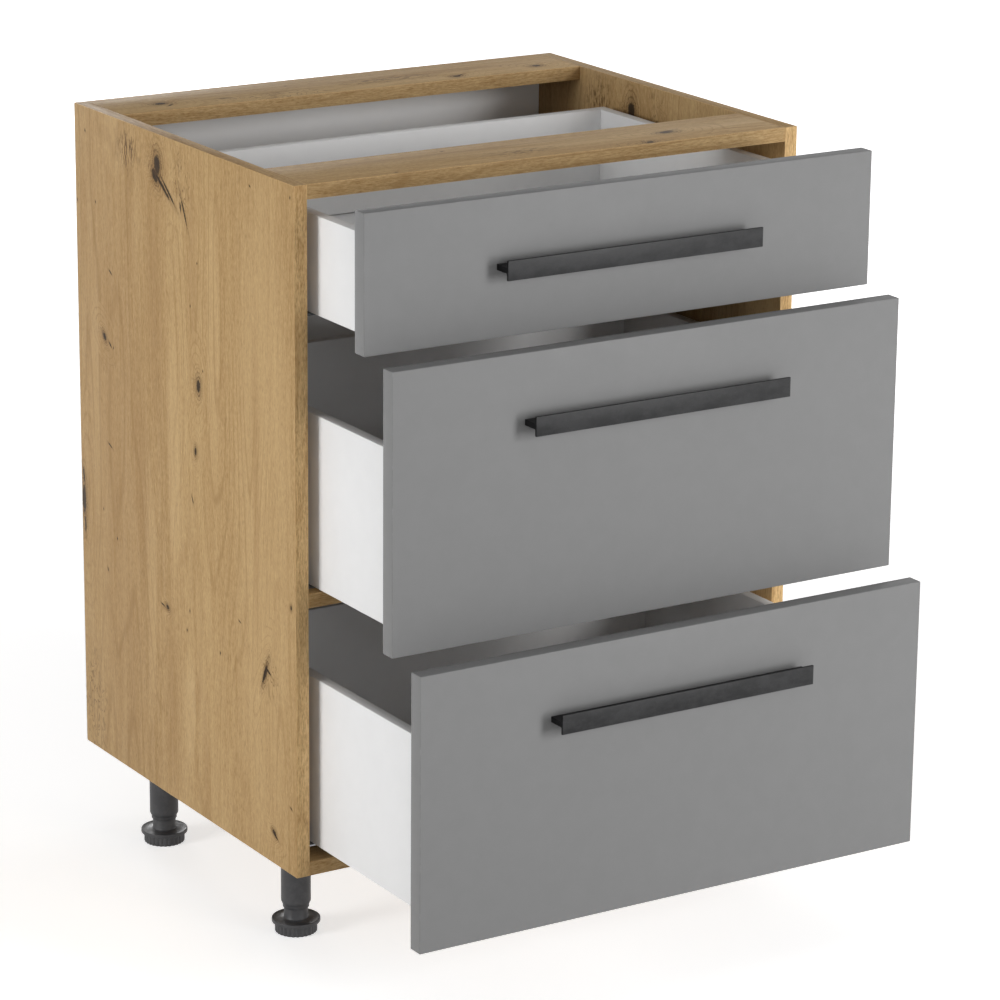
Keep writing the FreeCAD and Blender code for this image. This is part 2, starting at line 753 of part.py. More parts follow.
# ---------------------------------------------------------------- drawers
def make_handle_screws(drawer):
    """Two screws from inside; where the box reaches that high they also hold the box's front."""
    z = size(f"{drawer}_front_z") + size(f"{drawer}_front_height") - size("handle_drop")
    box_top = size(f"{drawer}_box_z") + size(f"{drawer}_box_height")
    through_box = z - size("handle_screw_head") < box_top
    grip = "front_board + box_wall" if through_box else "front_board"
    master = make_screw(f"handle_screw_{drawer}", f"{grip} + handle_screw_length", kind="handle_screw")
    doc.recompute()
    seat = size(f"{drawer}_y") + (size("box_wall") if through_box else 0.0)
    half = size("handle_screw_spacing") / 2
    spots = [Placement(Vector(x, seat, z), ALONG_MINUS_Y) for x in (-half, half)]
    return group(f"handle_screws_{drawer}", master, spots), through_box


def make_drawer_screws(drawer):
    """The screws of one drawer: handle, front, runner tabs and box base."""
    y, z = size(f"{drawer}_y"), size(f"{drawer}_box_z")
    wall, recess = size("box_wall"), size("box_base_recess")
    handle_screws, through_box = make_handle_screws(drawer)
    levels = [z + size("box_floor_top") + size("fixing_above_base")]
    if not through_box:
        levels.append(z + size(f"{drawer}_box_height") - size("fixing_below_top"))
    fixing_x = size("box_inner_x") - size("fixing_inset")
    fixings = [Placement(Vector(x, y + wall, level), ALONG_MINUS_Y)
               for x in (-fixing_x, fixing_x) for level in levels]
    tab_x = size("inner_x") - size("head_x")
    tab_face, tab_z = y + wall + size("channel_sheet"), z + recess - size("channel_height") / 2
    tabs = [Placement(Vector(x, tab_face, tab_z), ALONG_MINUS_Y) for x in (-tab_x, tab_x)]
    base_x = size("box_inner_x") - size("base_screw_inset")
    back_middle = y + size("box_length") - wall / 2
    base = [Placement(Vector(x, back_middle, z + recess), UPWARD) for x in (-base_x, base_x)]
    sets = [handle_screws]
    sets += [group(f"{kind}_{drawer}", master, spots) for kind, master, spots in (
        ("front_screws", front_screw, fixings), ("tab_screws", tab_screw, tabs),
        ("base_screws", base_screw, base))]
    return keep(f"drawer_{drawer}_screws", compound(f"screws_{drawer}", sets))


def make_handle(drawer):
    """A bar of T-shaped section: a stem that meets the front and a flat plate to pull by."""
    name = f"handle_{drawer}"
    body = new_body(name)
    stem_low = "( handle_height - handle_stem ) / 2"
    stem_high = "( handle_height + handle_stem ) / 2"
    corners = [
        ("0", "0"), ("handle_plate", "0"), ("handle_plate", stem_low), ("handle_reach", stem_low),
        ("handle_reach", stem_high), ("handle_plate", stem_high), ("handle_plate", "handle_height"),
        ("0", "handle_height")]
    sketch = outline(new_sketch(body, "YZ_Plane", name + "_section"), corners)
    bar = pad(body, sketch, "handle_length")
    plate = [(u, v) for u in ("0", "handle_plate") for v in ("0", "handle_height")]
    rounded(body, bar, "x", plate, "handle_edge_radius")
    place(body, "0 - handle_length / 2", f"{drawer}_y - front_board - handle_reach",
          f"{drawer}_front_z + {drawer}_front_height - handle_drop - handle_height / 2")
    return body


def make_drawer_box(drawer, screws):
    """Sides, inner front, back and base of one drawer; the base slides into grooves."""
    y, z, height = f"{drawer}_y", f"{drawer}_box_z", f"{drawer}_box_height"
    groove = block(f"box_groove_{drawer}", "box_inner_width + 2 * box_groove",
                   "box_length - box_wall + box_groove", "box_base",
                   "0 - box_inner_x - box_groove", y + " + box_wall - box_groove",
                   z + " + box_base_recess")
    side = block(f"box_side_{drawer}_blank", "box_wall", "box_length", height,
                 "0 - box_half_width", y, z)
    left = keep(f"drawer_{drawer}_side_left", cut(f"box_side_{drawer}", side, groove))
    keep(f"drawer_{drawer}_side_right", mirrored(f"box_side_{drawer}_right", left))
    inner_front = block(f"box_front_{drawer}_blank", "box_inner_width", "box_wall", height,
                        "0 - box_inner_x", y, z)
    keep(f"drawer_{drawer}_inner_front", cut(f"box_front_{drawer}", inner_front, groove, screws))
    back = block(f"box_back_{drawer}_blank", "box_inner_width", "box_wall",
                 height + " - box_floor_top", "0 - box_inner_x", y + " + box_length - box_wall",
                 z + " + box_floor_top")
    rails = [parts[f"drawer_{drawer}_rail_{side}"] for side, _ in SIDES]
    keep(f"drawer_{drawer}_back", cut(f"box_back_{drawer}", back, screws, *rails))
    base = block(f"box_base_{drawer}_blank",
                 "box_inner_width + 2 * box_groove - 2 * box_groove_play",
                 "box_length - box_wall + box_groove - box_groove_play", "box_base",
                 "0 - box_inner_x - box_groove + box_groove_play",
                 y + " + box_wall - box_groove + box_groove_play", z + " + box_base_recess")
    keep(f"drawer_{drawer}_base", cut(f"box_base_{drawer}", base, screws))


def make_drawer(drawer):
    screws = make_drawer_screws(drawer)
    doc.recompute()
    front = block(f"front_{drawer}_blank", "front_width", "front_board", f"{drawer}_front_height",
                  "0 - front_width / 2", f"{drawer}_y - front_board", f"{drawer}_front_z")
    keep(f"drawer_{drawer}_front", cut(f"front_{drawer}", front, screws))
    keep(f"drawer_{drawer}_handle", cut(f"handle_{drawer}_bored", make_handle(drawer), screws))
    left = keep(f"drawer_{drawer}_rail_left",
                cut(f"rail_{drawer}", make_drawer_rail(drawer), screws))
    keep(f"drawer_{drawer}_rail_right", mirrored(f"rail_{drawer}_right", left))
    make_drawer_box(drawer, screws)


for drawer in DRAWERS:
    make_drawer(drawer)
doc.recompute()


# ---------------------------------------------------------------- checks and files
def check_model():
    """Stop before writing anything if an object failed or a piece is not sound."""
    failed = [o.Name for o in doc.Objects if {"Invalid", "Error"} & set(o.State)]
    if failed:
        raise SystemExit(f"failed objects: {failed}")
    for label, piece in parts.items():
        if piece.Shape.isNull() or not piece.Shape.isValid() or not piece.Shape.Solids:
            raise SystemExit(f"unsound piece: {label}")


check_model()
os.makedirs("parts", exist_ok=True)
for label, piece in sorted(parts.items()):
    piece.Shape.exportStep(f"parts/{label}.step")
print(len(parts), "parts written")
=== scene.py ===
"""Base cabinet with three drawers: finishes, fine shapes, floor, light and camera.

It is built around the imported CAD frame. Named sizes of the cabinet's pieces are in millimetres;
the camera, the lamps and the floor are in metres.
"""
import math

import bmesh
import bpy
from mathutils import Matrix, Vector


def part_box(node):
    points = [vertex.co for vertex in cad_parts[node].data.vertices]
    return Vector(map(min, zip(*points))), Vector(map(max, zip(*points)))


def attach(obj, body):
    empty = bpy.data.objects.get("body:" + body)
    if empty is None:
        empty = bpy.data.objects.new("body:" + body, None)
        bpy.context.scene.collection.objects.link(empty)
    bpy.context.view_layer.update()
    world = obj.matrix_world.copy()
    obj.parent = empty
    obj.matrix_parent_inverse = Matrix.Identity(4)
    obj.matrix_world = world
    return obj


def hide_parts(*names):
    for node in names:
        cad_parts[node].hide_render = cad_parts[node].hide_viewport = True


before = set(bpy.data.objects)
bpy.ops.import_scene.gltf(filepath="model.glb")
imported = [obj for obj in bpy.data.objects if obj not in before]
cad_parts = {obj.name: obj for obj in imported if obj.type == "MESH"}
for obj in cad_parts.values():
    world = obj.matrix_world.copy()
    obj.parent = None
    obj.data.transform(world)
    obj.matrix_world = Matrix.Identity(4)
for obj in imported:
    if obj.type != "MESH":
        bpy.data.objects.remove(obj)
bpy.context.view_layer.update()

MM = 0.001
UP = Vector((0, 0, 1))
DRAWERS = ("top", "middle", "bottom")
SIDES = ("left", "right")
ROWS = ("front", "rear")


# ================================================================ finishes
def srgb(red, green, blue):
    """A colour picked on screen, 0 to 255, as the linear colour that a shader takes."""
    def linear(value):
        value /= 255
        return value / 12.92 if value <= 0.04045 else ((value + 0.055) / 1.055) ** 2.4
    return (linear(red), linear(green), linear(blue), 1.0)


class Finish:
    """One material and its shader, with a short call for each kind of node in the finishes."""

    def __init__(self, name, surface):
        self.material = bpy.data.materials.new(name)
        self.material.use_nodes = True
        self.tree = self.material.node_tree
        self.shader = self.tree.nodes["Principled BSDF"]
        for socket, value in surface.items():
            self.shader.inputs[socket].default_value = value
        self.place = self.node("TexCoord").outputs["Object"]

    def node(self, kind, inputs=None, **settings):
        node = self.tree.nodes.new("ShaderNode" + kind)
        for name, value in settings.items():
            setattr(node, name, value)
        for socket, value in (inputs or {}).items():
            self.feed(node.inputs[socket], value)
        return node

    def feed(self, socket, value):
        if isinstance(value, bpy.types.NodeSocket):
            self.tree.links.new(value, socket)
        else:
            socket.default_value = value

    def math(self, operation, first, second=0.0):
        return self.node("Math", {0: first, 1: second}, operation=operation).outputs[0]

    def vector(self, operation, first, second=(0, 0, 0)):
        node = self.node("VectorMath", {0: first, 1: second}, operation=operation)
        return node.outputs["Value" if operation == "LENGTH" else "Vector"]

    def times(self, vector, factor):
        node = self.node("VectorMath", {0: vector, "Scale": factor}, operation="SCALE")
        return node.outputs["Vector"]

    def stretched(self, vector, scale, place=(0, 0, 0), turn=(0, 0, 0)):
        inputs = {"Vector": vector, "Scale": scale, "Location": place, "Rotation": turn}
        return self.node("Mapping", inputs).outputs["Vector"]

    def noise(self, vector, scale, detail=2.0, roughness=0.5, distortion=0.0):
        inputs = {"Vector": vector, "Scale": scale, "Detail": detail, "Roughness": roughness,
                  "Distortion": distortion}
        return self.node("TexNoise", inputs).outputs["Fac"]

    def noise_vector(self, vector, scale, detail=1.0):
        inputs = {"Vector": vector, "Scale": scale, "Detail": detail}
        colour = self.node("TexNoise", inputs).outputs["Color"]
        return self.vector("SUBTRACT", colour, (0.5, 0.5, 0.5))

    def cells(self, vector, scale):
        return self.node("TexVoronoi", {"Vector": vector, "Scale": scale}, feature="F1")

    def spread(self, value, low, high, to_low=0.0, to_high=1.0):
        """value eased from low to high, as to_low to to_high."""
        inputs = {"Value": value, "From Min": low, "From Max": high, "To Min": to_low,
                  "To Max": to_high}
        return self.node("MapRange", inputs, interpolation_type="SMOOTHSTEP").outputs["Result"]

    def ramp(self, value, *stops):
        """A colour ramp with a stop for each (position, colour)."""
        node = self.node("ValToRGB", {"Fac": value})
        elements = node.color_ramp.elements
        while len(elements) < len(stops):
            elements.new(0.5)
        for element, (position, colour) in zip(elements, stops):
            element.position = position
            element.color = colour
        return node.outputs["Color"]

    def mix(self, factor, first, second, blend="MIX"):
        inputs = {0: factor, 6: first, 7: second}
        return self.node("Mix", inputs, data_type="RGBA", blend_type=blend).outputs[2]

    def shade(self, colour, amount):
        """colour times amount, where 1 leaves it alone."""
        grey = self.node("CombineColor", {0: amount, 1: amount, 2: amount}).outputs[0]
        return self.mix(1.0, colour, grey, "MULTIPLY")

    def finish(self, colour=None, roughness=None, height=None, depth=0.0001, strength=0.5):
        if colour is not None:
            self.feed(self.shader.inputs["Base Color"], colour)
        if roughness is not None:
            self.feed(self.shader.inputs["Roughness"], roughness)
        if height is not None:
            bump = self.node("Bump", {"Height": height, "Distance": depth, "Strength": strength})
            self.feed(self.shader.inputs["Normal"], bump.outputs["Normal"])
        return self.material


# Marks of the oak pattern: place across and along the grain, half width, half length, and how many
# degrees the length leans. Knots have rings, smudges are dashed with dark grain, swirls are curled
# grain, and veins and pales are soft darker and paler staves.
PANEL_KNOTS = (
    (179, 787, 6.2, 10, 0), (184, 775, 4.4, 8, 40), (93, 572, 3.6, 6.5, 0), (101, 500, 2.2, 3.6, 0),
    (-47, 303, 2.2, 9, -20), (307, 577, 2.8, 4.5, 35), (364, 381, 4.0, 15, 0),
    (-63, 134, 2.2, 3.6, 50), (169, 312, 2.2, 3.0, 60))
PANEL_CRACKS = (
    (167, 767, 2.0, 18, 54), (155, 764, 1.5, 18, 50), (120, 749, 1.2, 15, 24),
    (128, 753, 1.0, 5, 10), (-44, 300, 1.5, 12, -22), (-52, 306, 1.3, 7, 62),
    (109, 446, 0.8, 4, 26), (291, 651, 0.9, 3.5, 60), (294, 571, 1.0, 4, 50),
    (298, 458, 0.8, 4.5, 65), (-66, 131, 1.0, 5, 60), (364, 409, 1.6, 8, 10), (362, 352, 1.4, 9, 0),
    (180, 312, 0.8, 4, 75))
PANEL_SPECKS = (
    (-21, 803, 0.8, 1.7, 60), (-103, 807, 0.9, 1.4, 0), (345, 794, 1.1, 1.5, 20),
    (323, 721, 0.9, 1.4, 30), (93, 701, 0.8, 1.1, 0), (109, 653, 0.8, 1.3, 0),
    (83, 590, 0.8, 1.2, 0), (285, 357, 1.0, 1.5, 0), (317, 382, 0.8, 1.5, 0),
    (309, 316, 0.9, 2.6, 25), (118, 322, 0.9, 1.8, 0), (125, 299, 1.0, 1.7, 0),
    (51, 295, 1.0, 1.8, 0), (8, 342, 0.8, 2.2, 70), (-101, 387, 1.8, 3.2, 0),
    (-99, 172, 0.8, 2.6, 60), (366, 715, 0.8, 1.6, 0), (286, 569, 0.8, 1.4, 0))
PANEL_SMUDGES = ((245, 790, 24, 22, 0),)
PANEL_SWIRLS = ((126, 778, 19, 34, 14), (-58, 300, 15, 22, 0), (345, 150, 26, 66, 0))
# The last vein and the first pale are broad: they make the side panels darker towards the back and
# paler towards the front.
PANEL_VEINS = (
    (298, 600, 17, 190, 0), (190, 640, 15, 120, 0), (103, 690, 9, 90, 0), (232, 440, 20, 110, 2),
    (84, 160, 8, 75, 2), (100, 236, 24, 9, 72), (-30, 500, 6, 130, 0), (255, 240, 14, 120, 0),
    (349, 700, 10, 110, 0), (160, 200, 12, 90, 0), (310, 460, 78, 430, 0))
PANEL_PALES = (
    (-45, 460, 62, 420, 0), (150, 480, 14, 150, 0), (60, 620, 14, 160, 0), (330, 500, 12, 130, 0),
    (205, 330, 12, 120, 0), (120, 210, 12, 60, 0), (275, 800, 30, 40, 0))
RAIL_KNOTS = (
    (318, -224, 4.0, 6, 5), (255, -12, 2.4, 4, 0), (299, 133, 3.4, 5, 10), (309, 243, 4, 5, 0),
    (-71, 162, 3.4, 8, 0), (-104, 120, 2.6, 5, 20))
RAIL_CRACKS = (
    (312, -150, 1.2, 6, -20), (306, -218, 1.1, 5, 40), (-66, 166, 1.1, 9, 8),
    (303, 140, 1.0, 6, 30))
RAIL_SPECKS = (
    (-104, -181, 1.0, 1.8, 0), (-102, 286, 1.5, 2.6, 0), (340, -60, 0.9, 1.6, 0),
    (-40, -90, 0.9, 1.8, 0))
RAIL_SMUDGES = ((320, 60, 14, 50, 0), (-80, -20, 10, 40, 0))
RAIL_SWIRLS = ((-104, 110, 10, 40, 0), (300, -90, 18, 70, 0))
RAIL_VEINS = (
    (330, 40, 8, 200, 0), (-50, -140, 7, 120, 0), (-95, 60, 6, 90, 0), (60, 0, 20, 260, 0))
RAIL_PALES = ((295, -60, 10, 220, 0), (-70, 100, 9, 180, 0), (180, 60, 20, 220, 0))
OAK_DARK = srgb(152, 118, 74)
OAK_MIDDLE = srgb(183, 151, 105)
OAK_LIGHT = srgb(204, 174, 126)
OAK_VEIN = srgb(152, 116, 74)
OAK_PALE = srgb(214, 184, 137)
OAK_KNOT = srgb(88, 61, 34)
OAK_CRACK = srgb(36, 25, 15)

# Where each kind of mark starts to show and where it is full, in its own half sizes, and how
# strongly it then covers the board.
MARK_REACH = {
    "pale": (1.3, 0.6, 0.3),
    "vein": (1.7, 0.2, 0.3),
    "smudge": (1.6, 0.2, 0.9),
    "swirl": (1.5, 0.4, 0.62),
    "knot_rings": (4.2, 1.2, 0.62),
    "knot_halo": (3.0, 0.9, 0.4),
    "knot": (1.35, 0.7, 0.93),
    "crack_halo": (2.6, 1.0, 0.35),
    "crack": (1.25, 0.75, 0.96),
    "speck_halo": (2.4, 1.0, 0.45),
    "speck": (1.2, 0.5, 0.9)}
FAR = 9.0
GRAIN_ASIDE = 14
CURL_LINES = 16.0
KNOT_RINGS = 9.0
GRAIN_TURNS = {"x": (0, math.radians(-90), 0), "y": (math.radians(90), 0, 0), "z": (0, 0, 0)}


class Marks:
    """How near a place on the board is to the marks of each kind."""

    def __init__(self, oak, grain, knots, cracks, specks, smudges, swirls, veins, pales):
        self.oak = oak
        split = oak.node("SeparateXYZ", {0: oak.place}).outputs
        along = split["X" if grain == "x" else "Z"]
        self.flat = oak.node("CombineXYZ", {1: split["Y"], 2: along}).outputs[0]
        coarse = oak.noise_vector(oak.place, 170.0, 3.0)
        fine = oak.noise_vector(oak.place, 620.0, 2.0)
        ragged = oak.vector("ADD", oak.times(coarse, 1.1), oak.times(fine, 0.9))
        self.knot = self.nearest(knots, oak.times(ragged, 0.7))
        self.crack = self.nearest(cracks, oak.times(ragged, 0.9))
        self.speck = self.nearest(specks, oak.times(ragged, 0.6))
        self.smudge = self.nearest(smudges, oak.times(ragged, 0.9))
        self.swirl = self.nearest(swirls, oak.times(ragged, 0.5))
        self.vein = self.nearest(veins, oak.times(coarse, 0.8))
        self.pale = self.nearest(pales, oak.times(coarse, 0.4))

    def nearest(self, marks, ragged):
        """The distance to the nearest mark, in units of that mark's half width and half length."""
        oak = self.oak
        nearest = FAR
        for across, along, half_width, half_length, lean in marks:
            centred = oak.vector("SUBTRACT", self.flat, (0, across * MM, along * MM))
            inputs = {"Vector": centred, "Angle": math.radians(lean)}
            turned = oak.node("VectorRotate", inputs, rotation_type="X_AXIS").outputs[0]
            shrink = (0, 1 / (half_width * MM), 1 / (half_length * MM))
            scaled = oak.vector("MULTIPLY", turned, shrink)
            distance = oak.vector("LENGTH", oak.vector("ADD", scaled, ragged))
            nearest = oak.math("MINIMUM", distance, nearest)
        return nearest

    def cover(self, kind, distance):
        start, full, strength = MARK_REACH[kind]
        return self.oak.spread(distance, start, full, 0.0, strength)

    def bend(self, place):
        """The grain drawn aside where it runs round a knot."""
        aside = self.oak.spread(self.knot, 5.0, 0.5, 0.0, GRAIN_ASIDE * MM)
        shift = self.oak.node("CombineXYZ", {1: aside}).outputs[0]
        return self.oak.vector("ADD", place, shift)

    def tint(self, colour):
        """Darker veins and paler staves."""
        colour = self.oak.mix(self.cover("pale", self.pale), colour, OAK_PALE)
        return self.oak.mix(self.cover("vein", self.vein), colour, OAK_VEIN)

    def paint(self, colour, flowing):
        """Smudged and curled grain, then knots with their rings, cracks and specks."""
        oak = self.oak
        dashes = oak.noise(oak.stretched(flowing, (430, 430, 95)), 1.0, 3.0, 0.6)
        dashed = oak.math("MULTIPLY", oak.spread(dashes, 0.46, 0.62),
                          self.cover("smudge", self.smudge))
        colour = oak.mix(dashed, colour, OAK_KNOT)
        curls = oak.noise(oak.stretched(flowing, (85, 85, 30)), 1.0, 2.0, 0.5, 0.6)
        curl_lines = oak.math("PINGPONG", oak.math("MULTIPLY", curls, CURL_LINES), 1.0)
        curled = oak.math("MULTIPLY", oak.spread(curl_lines, 0.35, 0.0),
                          self.cover("swirl", self.swirl))
        colour = oak.mix(curled, colour, OAK_KNOT)
        rings = oak.math("SINE", oak.math("MULTIPLY", self.knot, KNOT_RINGS))
        ringed = oak.math("MULTIPLY", oak.spread(rings, 0.1, 1.0),
                          self.cover("knot_rings", self.knot))
        colour = oak.mix(self.cover("knot_halo", self.knot), colour, OAK_KNOT)
        colour = oak.mix(ringed, colour, OAK_KNOT)
        colour = oak.mix(self.cover("knot", self.knot), colour, OAK_CRACK)
        colour = oak.mix(self.cover("crack_halo", self.crack), colour, OAK_KNOT)
        colour = oak.mix(self.cover("crack", self.crack), colour, OAK_CRACK)
        colour = oak.mix(self.cover("speck_halo", self.speck), colour, OAK_KNOT)
        return oak.mix(self.cover("speck", self.speck), colour, OAK_CRACK)


PANEL_MARKS = (
    PANEL_KNOTS, PANEL_CRACKS, PANEL_SPECKS, PANEL_SMUDGES, PANEL_SWIRLS, PANEL_VEINS, PANEL_PALES)
RAIL_MARKS = (
    RAIL_KNOTS, RAIL_CRACKS, RAIL_SPECKS, RAIL_SMUDGES, RAIL_SWIRLS, RAIL_VEINS, RAIL_PALES)
MATT = {"Specular IOR Level": 0.12}
GROWTH_LINES = 44.0
TONE_MIDDLE = 0.62
TONE_REACH = 0.18


def oak_finish(name, grain, seed, marks=None, tone=1.0, rough=0.56, contrast=1.0):
    """Oak-look laminate with its grain along an axis.

    seed moves the pattern, tone makes it lighter, and contrast parts its light and dark.
    """
    oak = Finish(name, MATT)
    marked = Marks(oak, grain, *marks) if marks else None
    place = marked.bend(oak.place) if marks else oak.place
    along = oak.stretched(place, (1, 1, 1), (seed, seed * 0.37, seed * 1.71), GRAIN_TURNS[grain])
    drift = oak.times(oak.noise_vector(oak.stretched(along, (3.5, 3.5, 1.1)), 1.0, 2.0), 0.03)
    sway = oak.times(oak.noise_vector(oak.stretched(along, (30, 30, 9)), 1.0, 2.0), 0.003)
    sideways = oak.vector("MULTIPLY", oak.vector("ADD", drift, sway), (1, 1, 0))
    flowing = oak.vector("ADD", along, sideways)
    bands = oak.noise(oak.stretched(flowing, (15, 15, 0.9)), 1.0, 3.0, 0.5)
    streaks = oak.noise(oak.stretched(flowing, (150, 150, 6)), 1.0, 5.0, 0.75)
    fibres = oak.noise(oak.stretched(flowing, (900, 900, 60)), 1.0, 3.0, 0.7)
    flecks = oak.noise(oak.stretched(flowing, (700, 700, 180)), 1.0, 2.0, 0.6)
    pores = oak.noise(oak.stretched(flowing, (1300, 1300, 150)), 1.0, 1.0, 0.5)
    growth = oak.noise(oak.stretched(flowing, (9, 9, 1.1)), 1.0, 1.5, 0.4)
    if marks:
        growth = oak.math("ADD", growth, oak.spread(marked.knot, 11.0, 0.8, 0.0, 0.2))
    growth_lines = oak.math("PINGPONG", oak.math("MULTIPLY", growth, GROWTH_LINES), 1.0)
    patches = oak.noise(oak.stretched(flowing, (7, 7, 2.2)), 1.0, 2.0, 0.5)
    light = oak.math("MULTIPLY", bands, 0.26)
    for pattern, weight in ((streaks, 0.26), (fibres, 0.36), (flecks, 0.36)):
        light = oak.math("ADD", light, oak.math("MULTIPLY", pattern, weight))
    reach = TONE_REACH / contrast
    colour = oak.ramp(light, (TONE_MIDDLE - reach, OAK_DARK), (TONE_MIDDLE, OAK_MIDDLE),
                      (TONE_MIDDLE + reach, OAK_LIGHT))
    if marks:
        colour = marked.tint(colour)
    lined = oak.math("MULTIPLY", oak.spread(growth_lines, 0.32, 0.0),
                     oak.spread(patches, 0.64, 0.38, 0.06, 0.5))
    colour = oak.mix(lined, colour, OAK_DARK)
    pore = oak.spread(pores, 0.58, 0.74, 1.0, 0.78)
    colour = oak.shade(colour, oak.math("MULTIPLY", pore, tone))
    if marks:
        colour = marked.paint(colour, flowing)
    height = oak.math("ADD", oak.math("MULTIPLY", streaks, 0.5), oak.math("MULTIPLY", pore, 0.5))
    roughness = oak.spread(streaks, 0.3, 0.7, rough + 0.05, rough - 0.07)
    return oak.finish(colour, roughness, height, 0.00012, 0.45)


def board_finish(name, tint, roughness, mottle):
    """Melamine or lacquer: an even colour, a faint mottle and the fine ripple of a pressed face."""
    board = Finish(name, MATT)
    mottled = board.noise(board.place, 45.0, 4.0, 0.6)
    ripple = board.noise(board.place, 1400.0, 2.0, 0.5)
    rub = board.noise(board.stretched(board.place, (12, 12, 40)), 1.0, 5.0, 0.7)
    colour = board.shade(tint, board.spread(mottled, 0.3, 0.7, 1 - mottle, 1 + mottle))
    rough = board.spread(rub, 0.3, 0.7, roughness - 0.05, roughness + 0.05)
    return board.finish(colour, rough, ripple, 0.00006, 0.25)


def worn_edge_finish(name, tint, rubbed, roughness):
    """The eased edge of a board, rubbed lighter in places."""
    edge = Finish(name, MATT)
    wear = edge.noise(edge.stretched(edge.place, (60, 60, 60)), 1.0, 6.0, 0.75)
    colour = edge.mix(edge.spread(wear, 0.48, 0.72), tint, rubbed)
    rough = edge.spread(wear, 0.4, 0.7, roughness, roughness - 0.12)
    return edge.finish(colour, rough, wear, 0.00008, 0.3)


def raw_board_finish(name):
    """The bare back of hardboard: brown felted fibres."""
    raw = Finish(name, {"Specular IOR Level": 0.2})
    fibres = raw.noise(raw.place, 420.0, 6.0, 0.75, 1.2)
    clouds = raw.noise(raw.place, 9.0, 3.0)
    colour = raw.ramp(fibres, (0.3, srgb(104, 80, 58)), (0.55, srgb(134, 106, 78)),
                      (0.8, srgb(160, 132, 102)))
    colour = raw.shade(colour, raw.spread(clouds, 0.3, 0.7, 0.94, 1.05))
    return raw.finish(colour, raw.spread(fibres, 0.3, 0.7, 0.9, 0.78), fibres, 0.0002, 0.6)


def powder_coat_finish(name, tint, glint, gloss):
    """Powder coat: a fine grained skin with soft clouds in it."""
    coat = Finish(name, {"Specular IOR Level": gloss})
    grain = coat.noise(coat.place, 1100.0, 3.0, 0.6)
    clouds = coat.noise(coat.stretched(coat.place, (1, 1, 1.6)), 55.0, 4.0, 0.6)
    colour = coat.mix(coat.spread(clouds, 0.35, 0.7), tint, glint)
    colour = coat.shade(colour, coat.spread(grain, 0.3, 0.7, 0.86, 1.14))
    return coat.finish(colour, coat.spread(clouds, 0.3, 0.7, 0.4, 0.5), grain, 0.00012, 0.5)


def moulded_finish(name, tint, dusty):
    """Black moulded plastic with a spark-eroded grain, dusty where it is handled."""
    plastic = Finish(name, {"Specular IOR Level": 0.4})
    grain = plastic.noise(plastic.place, 900.0, 2.0, 0.5)
    dust = plastic.noise(plastic.place, 70.0, 5.0, 0.7)
    colour = plastic.mix(plastic.spread(dust, 0.4, 0.75, 0.0, 0.6), tint, dusty)
    return plastic.finish(colour, plastic.spread(dust, 0.3, 0.7, 0.42, 0.58), grain, 0.0001, 0.4)


def zinc_finish(name, dark, light):
    """Zinc on steel: crystals a few millimetres wide, and draw lines along the bend."""
    zinc = Finish(name, {"Metallic": 1.0, "Specular IOR Level": 0.5})
    crystals = zinc.cells(zinc.place, 260.0).outputs["Color"]
    flake = zinc.node("SeparateColor", {0: crystals}).outputs[0]
    lines = zinc.noise(zinc.stretched(zinc.place, (900, 14, 900)), 1.0, 3.0, 0.6)
    colour = zinc.mix(zinc.math("MULTIPLY", flake, 0.6), dark, light)
    colour = zinc.shade(colour, zinc.spread(lines, 0.3, 0.7, 0.92, 1.06))
    rough = zinc.math("ADD", zinc.math("MULTIPLY", flake, 0.14), 0.3)
    return zinc.finish(colour, rough, lines, 0.00003, 0.3)


def nylon_finish(name):
    """Off-white nylon, a little cloudy and waxy."""
    nylon = Finish(name, {"Specular IOR Level": 0.5, "Subsurface Weight": 0.1,
                          "Subsurface Scale": 0.002})
    clouds = nylon.noise(nylon.place, 120.0, 4.0, 0.6)
    colour = nylon.ramp(clouds, (0.3, srgb(208, 205, 194)), (0.7, srgb(228, 226, 217)))
    return nylon.finish(colour, nylon.spread(clouds, 0.3, 0.7, 0.36, 0.5), clouds, 0.00008, 0.3)


def beech_finish(name):
    """Pressed beech of the biscuits, with short flecks along the grain."""
    beech = Finish(name, {"Specular IOR Level": 0.3})
    flecks = beech.noise(beech.stretched(beech.place, (90, 900, 900)), 1.0, 4.0, 0.7)
    colour = beech.ramp(flecks, (0.3, srgb(168, 128, 88)), (0.7, srgb(206, 168, 124)))
    return beech.finish(colour, beech.spread(flecks, 0.3, 0.7, 0.6, 0.75), flecks, 0.0001, 0.5)


